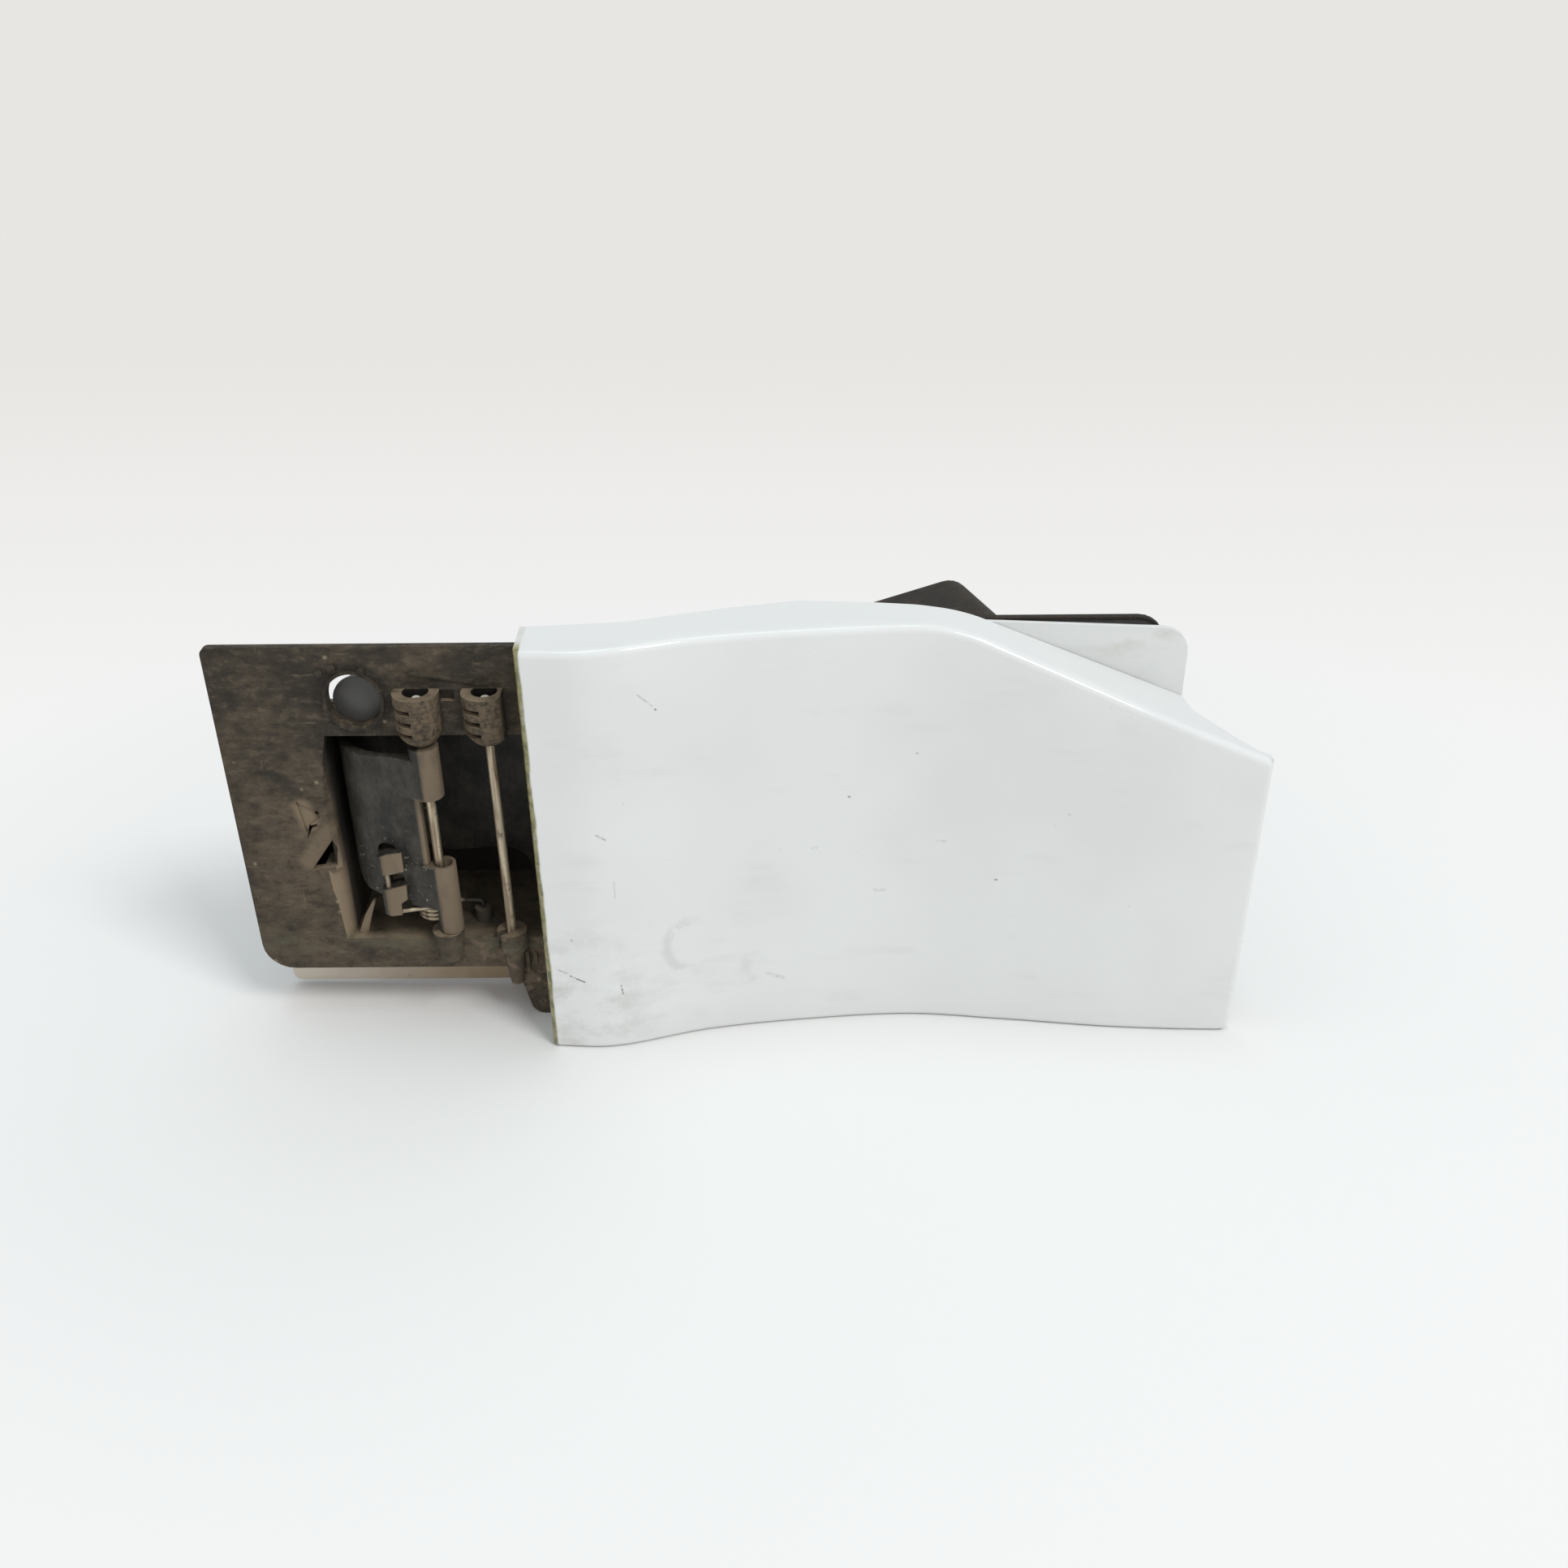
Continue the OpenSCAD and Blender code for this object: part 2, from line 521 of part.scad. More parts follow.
// Filler bowl: a turned, rounded square whose right-hand wall slopes in towards the back
bowl_left = 52;
bowl_low = 59.3;
bowl_high = 59.5;
bowl_right_front = 62.5;
bowl_right_back = 51.6;
bowl_round = 27;
bowl_ridge_r = 7;
function bowl_outline(right, inset) = rounded(
    [[-bowl_left + inset, -bowl_low + inset], [right - inset, -bowl_low + inset],
        [right - inset, bowl_high - inset], [-bowl_left + inset, bowl_high - inset]],
    [bowl_round - inset, bowl_round - inset, bowl_ridge_r - inset, bowl_round - inset]);
module bowl_shape(inset, front, back) {
    hull() {
        slab(front, 0.1) rotate(bowl_turn) polygon(bowl_outline(bowl_right_front, inset));
        slab(back - 0.1, 0.1) rotate(bowl_turn) polygon(bowl_outline(bowl_right_back, inset));
    }
}

// Lugs that hold the pins
upper_lug_r = 7.3;
pin_seat = 0.02;
slot_z = [lug_bottom + 5.1, lug_bottom + 9.2, lug_bottom + 13.3];
slot_h = 1.8;
slot_reach = 4.2;
lug_flat = [9, 5.4];  // right-hand side of each lug, from its pin
module upper_lug(x, flat) {
    difference() {
        union() {
            translate([x, pin_y, lug_bottom + upper_lug_r]) sphere(r = upper_lug_r, $fn = fine_fn);
            translate([x, pin_y, lug_bottom + upper_lug_r])
                cylinder(r = upper_lug_r, h = lug_top - lug_bottom - upper_lug_r, $fn = fine_fn);
        }
        // The lug is only in front of the plate
        translate([x - 10, plate_y + wall, lug_bottom - over]) cube([20, 20, 30]);
        translate([x + flat, plate_y - 12, lug_bottom - over]) cube([10, 12, 30]);
        // Open mouth at the top, which shows the end of the pin
        translate([x, pin_y, pin_top - 1.2]) cylinder(r = 4.1, h = 10, $fn = fine_fn);
        // Three crescent slots on the left
        for (z = slot_z) difference() {
            translate([x - 10, pin_y - 10, z]) cube([9, 11.4, slot_h]);
            translate([x, pin_y, z - over]) cylinder(r = slot_reach, h = slot_h + 2 * over, $fn = fine_fn);
        }
    }
}

lower_lug = [-41.6, -29.5];
boss_z = [-37.3, -30.1];
boss_r = 5;
post_foot = -52;
module lower_lugs() {
    translate([pin_x, pin_y, lower_lug[0]])
        cylinder(r1 = 3.4, r2 = 5.4, h = lower_lug[1] - lower_lug[0], $fn = fine_fn);
    difference() {
        translate([rod_x, pin_y, boss_z[0]]) cylinder(r = boss_r, h = boss_z[1] - boss_z[0], $fn = fine_fn);
        // The ring is open at its front left
        translate([rod_x, pin_y, rod_foot]) rotate(215) translate([0, -1.2, 0]) cube([10, 2.4, 10]);
    }
    // Post and ribs under the ring
    translate([rod_x, pin_y, post_foot]) cylinder(r1 = 2.2, r2 = 3.8, h = boss_z[0] - post_foot, $fn = small_fn);
    for (k = [0:2]) translate([rod_x + 1 + 2.6 * k, plate_y - 2.6 + 0.5 * k, post_foot + 3 * k])
        cube([1.2, 2.8, 13 - 4 * k]);
}

// The hinge bay behind the rim, its upper left corner cut off, for an outline drawn out by a margin
bay_cut = 7;
module bay_section(out) {
    polygon([[bay_l - out, bay_bottom - out], [bay_r + out, bay_bottom - out], [bay_r + out, bay_top + out],
        [bay_l + bay_cut - out * tan(22.5), bay_top + out], [bay_l - out, bay_top - bay_cut + out * tan(22.5)]]);
}

// The hinge bay's window in the plate, whose upper left corner leans in
window_corner = 2.2;
window_lean = 10;
module bay_window() {
    polygon([[bay_l + window_corner, bay_top], [bay_l, bay_top - window_lean], [bay_l, bay_bottom],
        [bay_r, bay_bottom], [bay_r, bay_top]]);
}

// Ramp from the plate's face back to the bay's left wall. Each row is a height, how far left of the wall
// the ramp starts, and how far back it ends.
ramp_low = [[bay_bottom, 2.2, 5], [-20, 3, 5.5], [-14, 4, 6], [-7, 4.3, 6]];
ramp_high = [[-7, 1.6, 2.4], [8, 1.6, 2.4], [bay_top - 22, 1.4, 2.2], [bay_top - window_lean, 0.2, 0.4]];
module ramp(rows) {
    n = len(rows);
    pts = [for (r = rows) let (s = r[2] / r[1]) each [
        [bay_l - r[1] - over / s, plate_y - over, r[0]],
        [bay_l + over, plate_y - over, r[0]],
        [bay_l + over, plate_y + r[2] + over * s, r[0]]]];
    polyhedron(points = pts, faces = concat(
        [[0, 1, 2], [3 * n - 1, 3 * n - 2, 3 * n - 3]],
        [for (i = [0:n - 2], j = [0:2]) let (m = (j + 1) % 3) [3 * i + j, 3 * i + 3 + j, 3 * i + 3 + m]],
        [for (i = [0:n - 2], j = [0:2]) let (m = (j + 1) % 3) [3 * i + j, 3 * i + 3 + m, 3 * i + m]]));
}

// Openings in the raised plate left of the bay: a window under a diagonal strap, and two slits above it
strap_window = [[bay_l - 9.6, -6.6], [bay_l - 1.2, -5.4], [bay_l - 0.6, 1.2], [bay_l - 1.4, 4.8]];
wedge = [[bay_l - 10.9, 19.8], [bay_l - 9.2, 7.9], [bay_l - 7.3, 11.1], [bay_l - 4, 13.5], [bay_l - 4.2, 16]];
wedge_depth = 0.8;
wedge_hole = [bay_l - 4.9, 14.9];
wedge_slit = [[bay_l - 9.3, 5.4], [bay_l - 7.4, 9.2], [bay_l - 5.4, 10.1], [bay_l - 5.2, 11.3], [bay_l - 8.2, 10.5]];

// Access hole, taller than it is wide, with a short tube behind it and three nubs above it
access_at = [-163.8, plate_top - 18.6];
access_tall = 1.1;
tube_depth = 4.5;
ring_w = 1.1;
ring_rise = 0.6;
nubs = [[-9.3, 9.9], [-5, 11.4], [3.7, 10.5]];
nub_r = 1.3;
module access_outline(r) {
    polygon([for (k = [0:47]) access_at + r * [cos(7.5 * k), access_tall * sin(7.5 * k)]]);
}

fin = [[0.7, -1], [4, -1], [6.4, 7.4], [8.6, 13.6], [7.6, 13.4], [4.1, 7.4]];
module pocket_housing() {
    color("#4b433b") difference() {
        union() {
            difference() {
                union() {
                    // Raised plate, and the side walls that carry it back to the rim
                    slab(plate_y, wall) polygon(plate_outline(0));
                    slab(plate_y, plate_rise + wall / 2) difference() {
                        polygon(plate_outline(0));
                        polygon(plate_outline(wall));
                        translate([plate_l - over, rear_top - 2]) square([plate_w - wall + over, 40]);
                        translate([plate_l - over, shelf_top]) square([plate_w + 2 * over, 40]);
                    }
                    // Walls of the hinge bay in front of the rim
                    slab(plate_y, plate_rise) translate([bay_l - wall, bay_bottom - wall])
                        square([plate_r - bay_l + wall, bay_top - bay_bottom + 2 * wall]);
                    // Rim and rear flange
                    slab(rim_y, wall) polygon(rounded(
                        [[rim_l, rear_top], [rim_l, foot_z + rim_lift], [step_x - 4, foot_z + rim_lift],
                            [step_x, foot_z], [rim_right, foot_z], [rim_right, plate_top],
                            [shelf_end, plate_top], [shelf_end - 6, shelf_top],
                            [plate_r + 2, shelf_top], [plate_r + 2, rear_top]],
                        [3, 3, 0, 0, 8, 9, 2, 2, 0, 0]));
                    // Hinge bay
                    slab(rim_y, bay_back - rim_y + wall) bay_section(wall);
                    // Filler bowl
                    bowl_shape(0, rim_y, bowl_back + wall);
                    // Solid corner behind the lower ramp
                    slab(plate_y, 12) translate([bay_l - wall - 4, bay_bottom - wall]) square([5, 30]);
                    // Tube and low ring round the access hole, and the nubs above it
                    slab(plate_y - ring_rise, tube_depth + ring_rise) access_outline(access_r + ring_w);
                    for (p = nubs) translate([access_at.x + p.x, 0, access_at.y + p.y])
                        round_y(nub_r, plate_y - 1, plate_y + over, small_fn);
                    // Stiffening ribs behind the rim
                    for (z = [-50, 30]) slab(rim_y, 14)
                        polygon([[rim_right - 28, z], [rim_right - 4, z], [rim_right - 4, z + 2], [rim_right - 28, z + 2]]);
                    for (x = [-190, -150, -120]) slab(plate_y, plate_rise + 1)
                        polygon([[x, bay_top + 1], [x + 2, bay_top + 1], [x + 2, rear_top - 3], [x, rear_top - 3]]);
                }
                // Clear inside of the bay, its window and the bowl
                slab(plate_y + wall, plate_rise - wall) translate([bay_l, bay_bottom])
                    square([bay_r - bay_l, bay_top - bay_bottom]);
                slab(rim_y, bay_back - rim_y) bay_section(0);
                slab(plate_y - over, wall + 2 * over) bay_window();
                ramp(ramp_low);
                ramp(ramp_high);
                slab(plate_y - over, wall + 2 * over) polygon(strap_window);
                slab(plate_y - over, wedge_depth + over) polygon(wedge);
                slab(plate_y - over, wall + 2 * over) polygon(wedge_slit);
                translate([wedge_hole.x, 0, wedge_hole.y]) round_y(0.8, plate_y - over, plate_y + wall + over, small_fn);
                bowl_shape(wall, rim_y - over, bowl_back);
                // The access hole, and the notch in the rim behind it
                slab(plate_y - ring_rise - over, tube_depth + ring_rise + 2 * over) access_outline(access_r);
                slab(rim_y - over, wall + 2 * over) translate([notch_x[0], bay_top + wall + 0.5])
                    square([notch_x[1] - notch_x[0], 40]);
            }
            upper_lug(pin_x, lug_flat[0]);
            upper_lug(rod_x, lug_flat[1]);
            lower_lugs();
            // Fin in the bay's lower left corner
            slab(plate_y + 3, 1.6) translate([bay_l, bay_bottom]) polygon(fin);
            // Lug on the bay's floor for the spring's fixed leg
            translate([pin_x + lug_at.x, pin_y + lug_at.y, bay_bottom - 0.5])
                cylinder(r = 3, h = coil_bottom - 2.7 - bay_bottom + 0.5, $fn = small_fn);
            // Low rib across the plate above the lugs
            slab(plate_y - 0.6, 1.2) translate([pin_x, plate_top])
                polygon([[-1.8, -8.4], [-1.7, -9.6], [17.8, -12.6], [17.9, -11.4]]);
        }
        // Seats of the pins
        translate([pin_x, pin_y, pin_foot]) cylinder(r = pin_r + pin_seat, h = 120, $fn = fine_fn);
        translate([rod_x, pin_y, rod_foot]) cylinder(r = pin_r + pin_seat, h = 120, $fn = fine_fn);
        // Hole for the spring's leg
        translate([pin_x + lug_at.x, pin_y + lug_at.y, bay_bottom - 0.4])
            cylinder(r = wire_r + 0.1, h = 20, $fn = small_fn);
        // Small square recess between the lugs
        translate([pin_x + 7, plate_y - over, lug_top - 4.4]) cube([4.4, over + 1.9, 3.9]);
        // Hole for the filler neck's boot
        round_y(neck_r + boot_t, bowl_back - over, bowl_back + wall + over);
        // Holes for the buffers
        for (z = buffer_z) translate([buffer_x, 0, z])
            round_y(buffer_stem_r, rim_y - over, rim_y + wall + over, small_fn);
    }
}

// Foam seal round the rim
seal_l = -77;
seal_top = plate_top - 0.8;
seal_low_top = shelf_top - 0.8;
seal_bottom = foot_z + 1.5;
function seal_outline(inset) = rounded(
    [[seal_l + inset, seal_bottom + inset], [rim_right - 1 - inset, seal_bottom + inset],
        [rim_right - 1 - inset, seal_top - inset], [shelf_end + 1 + inset / 2, seal_top - inset],
        [shelf_end - 5 + inset / 2, seal_low_top - inset], [seal_l + inset, seal_low_top - inset]],
    [8 - inset, 8 - inset, 8.5 - inset, 2, 2, 8 - inset]);
module rim_seal() {
    color("#161616") slab(rim_y - seal_t, seal_t) difference() {
        polygon(seal_outline(0));
        polygon(seal_outline(seal_w));
    }
}

// Rubber boot for the filler neck: a lip in front of the wall, a neck in its hole and a skirt behind
boot_lip = 6;
module neck_boot() {
    color("#1c1c1c") rotate([-90, 0, 0]) rotate_extrude($fn = fine_fn) polygon([
        [neck_r, bowl_back - 2.5], [neck_r + boot_t + boot_lip - 1, bowl_back - 2.5],
        [neck_r + boot_t + boot_lip, bowl_back], [neck_r + boot_t - pin_seat, bowl_back],
        [neck_r + boot_t - pin_seat, bowl_back + wall], [neck_r + boot_t + 2.5, bowl_back + wall],
        [neck_r + boot_t + 2, bowl_back + wall + 2], [neck_r + 1.6, bowl_back + wall + boot_reach],
        [neck_r, bowl_back + wall + boot_reach]]);
}

// Blanking plug behind the access hole. It has slipped, which leaves a crescent open at the upper left.
plug_shift = [0.6, -2.2];
plug_r = access_r - 0.2;
plug_y = plate_y + tube_depth;
module access_plug() {
    color("#4a4a48") difference() {
        translate([access_at.x + plug_shift.x, 0, access_at.y + plug_shift.y]) difference() {
            union() {
                round_y(plug_r, plug_y, plug_y + 1.4);
                round_y(plug_r - 1.5, plug_y + 1.2, plug_y + 6);
            }
            round_y(plug_r - 2.8, plug_y + 2.4, plug_y + 6 + over);
        }
        // Flat along its foot, over the roof of the hinge bay
        translate([access_at.x - 20, plate_y, bay_top + wall + 0.3 - 20]) cube([40, 20, 20]);
    }
}

// Rubber buffers that the shut flap rests on
buffer_x = 76;
buffer_z = [plate_top - 23, foot_z + 14];
buffer_stem_r = 2.5;
buffer_head_r = 5.5;
module buffer(z) {
    color("#1a1a1a") translate([buffer_x, 0, z]) rotate([-90, 0, 0]) rotate_extrude($fn = small_fn) polygon([
        [0, rim_y - seal_t], [buffer_head_r - 1.2, rim_y - seal_t], [buffer_head_r, rim_y],
        [buffer_stem_r, rim_y], [buffer_stem_r, rim_y + wall + 3],
        [buffer_stem_r - 1, rim_y + wall + 5], [0, rim_y + wall + 5]]);
}
module buffer_upper() buffer(buffer_z[0]);
module buffer_lower() buffer(buffer_z[1]);

// Pan-head screw along Y, its head behind the seat and its shank running forward
module pan_screw(r, seat, tip) {
    head_r = 2 * r + 0.2;
    head_h = 1.1 * r;
    rotate([-90, 0, 0]) difference() {
        rotate_extrude($fn = small_fn) polygon(concat(
            [[0, tip], [r - 0.4, tip], [r, tip + 0.6], [r, seat], [head_r, seat], [head_r, seat + 0.4 * head_h]],
            [for (k = [1:5]) [head_r * cos(18 * k), seat + head_h * (0.4 + 0.6 * sin(18 * k))]]));
        for (a = [0, 90]) rotate(a) translate([-0.9 * r, -0.2 * r, seat + 0.45 * head_h])
            cube([1.8 * r, 0.4 * r, head_h]);
    }
}
module arm_screw(z) {
    color("#6f6a60") translate([foot_screw_x, 0, z])
        pan_screw(arm_screw_r, foot_y + foot_plate_t, foot_y - arm_foot_gap + 0.6);
}
module arm_screw_1() arm_screw(foot_screw_z[0]);
module arm_screw_2() arm_screw(foot_screw_z[1]);
module arm_screw_3() arm_screw(foot_screw_z[2]);
module panel_screw(p) {
    color("#6f6a60") translate([p.x, 0, p.y])
        pan_screw(panel_screw_r, panel_y + panel_t, panel_y - panel_screw_depth + 0.5);
}
module panel_screw_1() panel_screw(panel_screw_at[0]);
module panel_screw_2() panel_screw(panel_screw_at[1]);
module panel_screw_3() panel_screw(panel_screw_at[2]);
module panel_screw_4() panel_screw(panel_screw_at[3]);

pocket_housing();
hinge_pin();
anchor_rod();
rim_seal();
neck_boot();
access_plug();
buffer_upper();
buffer_lower();
torsion_spring();
outer_skin();
inner_panel();
hinge_arm();
arm_screw_1();
arm_screw_2();
arm_screw_3();
panel_screw_1();
panel_screw_2();
panel_screw_3();
panel_screw_4();
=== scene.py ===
"""Looks of a van's fuel door: white gloss flap, dusty moulded pocket, gooseneck hinge, pins and spring."""
import math

import bmesh
import bpy
import numpy as np
from mathutils import Matrix, Vector


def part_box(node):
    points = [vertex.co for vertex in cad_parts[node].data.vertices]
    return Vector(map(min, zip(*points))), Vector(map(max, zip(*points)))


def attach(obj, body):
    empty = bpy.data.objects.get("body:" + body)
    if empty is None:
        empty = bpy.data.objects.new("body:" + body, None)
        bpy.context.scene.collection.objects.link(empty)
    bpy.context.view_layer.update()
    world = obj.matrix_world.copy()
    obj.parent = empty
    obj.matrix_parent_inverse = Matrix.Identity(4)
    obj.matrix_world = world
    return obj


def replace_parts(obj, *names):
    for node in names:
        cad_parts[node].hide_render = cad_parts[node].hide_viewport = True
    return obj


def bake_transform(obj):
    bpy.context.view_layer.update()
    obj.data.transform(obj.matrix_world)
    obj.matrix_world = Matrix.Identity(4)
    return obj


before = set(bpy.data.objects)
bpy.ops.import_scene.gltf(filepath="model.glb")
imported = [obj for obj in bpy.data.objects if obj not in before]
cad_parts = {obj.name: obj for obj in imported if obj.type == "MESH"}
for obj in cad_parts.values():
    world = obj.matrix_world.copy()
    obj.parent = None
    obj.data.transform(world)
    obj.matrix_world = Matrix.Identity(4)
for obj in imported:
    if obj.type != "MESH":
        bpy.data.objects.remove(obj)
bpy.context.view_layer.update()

MM = 0.001


def box_mm(node):
    """Lowest and highest corner of a CAD node, in millimetres."""
    low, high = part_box(node)
    return np.array(low) / MM, np.array(high) / MM


def middle_mm(node):
    """Middle of a CAD node's box, in millimetres."""
    low, high = box_mm(node)
    return (low + high) / 2


# Places read from the frame, in millimetres
(FLAP_L, SKIN_FRONT, FOOT_Z), (FLAP_R, _, FLAP_TOP) = box_mm("outer_skin")
FLAP_W = FLAP_R - FLAP_L
(_, _, PIN_FOOT), (_, _, PIN_TOP) = box_mm("hinge_pin")
PIN_X, PIN_Y, _ = middle_mm("hinge_pin")
ROD_X, _, _ = middle_mm("anchor_rod")
PLUG_X, _, PLUG_Z = middle_mm("access_plug")
PLATE_L, _, TABLE_Z = box_mm("pocket_housing")[0]
PANEL_SCREW_END = box_mm("panel_screw_1")[1][1]

# Places on the pocket, set out from those: the front of the hinge plate and of the rim, the bay's foot,
# the lugs' top and the middle of the access hole
PLATE_Y = PIN_Y + 2
RIM_Y = PLATE_Y + 17
BAY_FOOT = PIN_FOOT + 6
LUG_TOP = PIN_TOP + 1.9
HOLE_X, HOLE_Z = PLUG_X - 0.6, PLUG_Z + 2.2

# Places on the arm: the ends of its knuckles at the pin's bare stretch, and its clips
LOWER_KNUCKLE_TOP = -2.9
UPPER_KNUCKLE_FOOT = LUG_TOP - 37.3
CLIP_RIGHT = PIN_X - 11.2
CLIP_FRONT = PIN_Y - 3.6

# Meshes
POINT_WELD = 0.004


def add_piece(name, points_mm, faces, body, smooth_angle=35):
    """A mesh from points in millimetres and faces, welded, smooth up to an angle between its faces.
    It rides on a body where one is given."""
    mesh = bpy.data.meshes.new(name)
    mesh.from_pydata((np.asarray(points_mm) * MM).tolist(), [], faces)
    shape = bmesh.new()
    shape.from_mesh(mesh)
    bmesh.ops.remove_doubles(shape, verts=shape.verts, dist=POINT_WELD * MM)
    bmesh.ops.recalc_face_normals(shape, faces=shape.faces)
    shape.to_mesh(mesh)
    shape.free()
    mesh.shade_smooth()
    mesh.set_sharp_from_angle(angle=math.radians(smooth_angle))
    piece = bpy.data.objects.new(name, mesh)
    bpy.context.scene.collection.objects.link(piece)
    if body:
        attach(piece, body)
    return piece


def grid_faces(rows, columns, closed_rows=False, closed_columns=False):
    """Quads of a grid of points stored row by row, which may close on itself either way."""
    j = np.arange(rows if closed_rows else rows - 1)[:, None]
    i = np.arange(columns if closed_columns else columns - 1)[None, :]
    j2, i2 = (j + 1) % rows, (i + 1) % columns
    quads = np.stack([j * columns + i, j * columns + i2, j2 * columns + i2, j2 * columns + i], axis=-1)
    return quads.reshape(-1, 4).tolist()


def join_parts(parts):
    """Several (points, faces) as one, with the faces counted on."""
    points, faces, first = [], [], 0
    for part_points, part_faces in parts:
        points.append(part_points)
        faces += [[first + k for k in face] for face in part_faces]
        first += len(part_points)
    return np.concatenate(points), faces


def turned(profile, centre, sides=32):
    """A closed profile of (radius, y) turned round a line along Y: x = r cos a, z = r sin a."""
    r, y = np.array(profile, float).T
    a = np.linspace(0, 2 * np.pi, sides, endpoint=False)
    level = np.repeat(y[:, None], sides, 1)
    points = np.stack([r[:, None] * np.cos(a), level, r[:, None] * np.sin(a)], axis=-1)
    faces = grid_faces(len(r), sides, closed_rows=True, closed_columns=True)
    return points.reshape(-1, 3) + np.array([centre[0], 0, centre[1]]), faces


def unit(v):
    """Vectors at length 1."""
    return v / np.linalg.norm(v, axis=-1, keepdims=True)


def wire_along(path, radius, sides=12, reference=(0, 0.5, 0.866)):
    """A round wire along a path: at each point a ring of radius r round the tangent,
    set out from its cross product with a reference direction, with a cap at each end."""
    tangent = unit(np.gradient(path, axis=0))
    side = unit(np.cross(tangent, np.array(reference)))
    up = np.cross(side, tangent)
    a = np.linspace(0, 2 * np.pi, sides, endpoint=False)[None, :, None]
    rings = path[:, None] + radius * (side[:, None] * np.cos(a) + up[:, None] * np.sin(a))
    n = len(path)
    faces = grid_faces(n, sides, closed_columns=True)
    faces += [list(range(sides)), list(range((n - 1) * sides, n * sides))]
    return rings.reshape(-1, 3), faces


def smooth_curve(knots, x):
    """Reads at x a curve through knots of (across, value): cubic Hermite pieces whose slope at a knot
    is that of the line between its neighbours, and level at both ends."""
    kx, ky = np.array(knots, float).T
    slope = np.zeros(len(kx))
    slope[1:-1] = (ky[2:] - ky[:-2]) / (kx[2:] - kx[:-2])
    x = np.clip(x, kx[0], kx[-1])
    i = np.clip(np.searchsorted(kx, x, side="right") - 1, 0, len(kx) - 2)
    h = kx[i + 1] - kx[i]
    t = (x - kx[i]) / h
    return ((2 * t**3 - 3 * t**2 + 1) * ky[i] + (t**3 - 2 * t**2 + t) * h * slope[i]
            + (3 * t**2 - 2 * t**3) * ky[i + 1] + (t**3 - t**2) * h * slope[i + 1])


# The flap's skin, whose edge is a little tighter than the CAD model's and has finer steps
SKIN_T = 2.4
EDGE_R = 2.4
INNER_EDGE_R = EDGE_R - SKIN_T + 0.6
LOWER_RETURN = 12

# The cut corner
CUT_SLOPE = math.radians(23)
CUT_DROP = 42.9
CUT_BEND_R = 60

# Set-back of the face by distance from the hinge end: flat, then a slope, then a hollow
HINGE_FLAT_W = 25.5
RAMP_W = 27
HOLLOW_X = 122
FACE_HOLLOW = 16
TIP_SETBACK = 6.1
FACE_KNOTS = [[0, 0.5], [HINGE_FLAT_W - 4, 0], [HINGE_FLAT_W + RAMP_W, 0.53 * FACE_HOLLOW],
              [HOLLOW_X - 38, 0.83 * FACE_HOLLOW], [HOLLOW_X, FACE_HOLLOW],
              [FLAP_W - 78, 0.8 * FACE_HOLLOW], [FLAP_W - 39, 0.5 * FACE_HOLLOW], [FLAP_W, TIP_SETBACK]]
FACE_Y = SKIN_FRONT - smooth_curve(FACE_KNOTS, np.linspace(0, FLAP_W, 400)).min()

# Where the skin stops short of the inner panel, worked out from the end of a panel screw
SCREW_HEAD = 1.65
PANEL_T = 1.5
PANEL_GAP = 0.3
PANEL_SEAT = PANEL_SCREW_END - SCREW_HEAD - PANEL_T - PANEL_GAP

# End of the upper and side returns behind the foremost plane, by distance from the hinge end
RETURN_KNOTS = [[0, 17.9], [31.5, 20.7], [43.5, 24.7], [63, 30.6], [84.3, 35.4], [108, 33.6],
                [126, PANEL_SEAT - FACE_Y], [FLAP_W - 24.5, PANEL_SEAT - FACE_Y], [FLAP_W - 24, 23.3],
                [FLAP_W - 12, 14.5], [FLAP_W, 8.3]]

# Screw bosses behind the skin, sunk into it a little
ARM_SCREW_R = 2
ARM_FOOT_GAP = 4
ARM_BOSS_SINK = 0.5
PANEL_SCREW_R = 1.5
PANEL_BOSS_SINK = 0.6
BOSS_WALL = 2.6
BOSS_FLOOR = 0.8


def face_at(x):
    """Y of the flap's face at x."""
    return FACE_Y + smooth_curve(FACE_KNOTS, x - FLAP_L)


def top_at(x, inset):
    """Z of the flap's upper edge at x, drawn in by an inset: level, then an arc, then the straight cut."""
    cut_x = FLAP_R - CUT_DROP / math.tan(CUT_SLOPE)
    bend_x = cut_x - CUT_BEND_R * math.tan(CUT_SLOPE / 2)
    r = CUT_BEND_R - inset
    arc = FLAP_TOP - CUT_BEND_R + np.sqrt(np.maximum(r * r - (x - bend_x) ** 2, 0))
    line = FLAP_TOP - inset / math.cos(CUT_SLOPE) - math.tan(CUT_SLOPE) * (x - cut_x)
    return np.where(x <= bend_x, FLAP_TOP - inset, np.where(x <= bend_x + r * math.sin(CUT_SLOPE), arc, line))


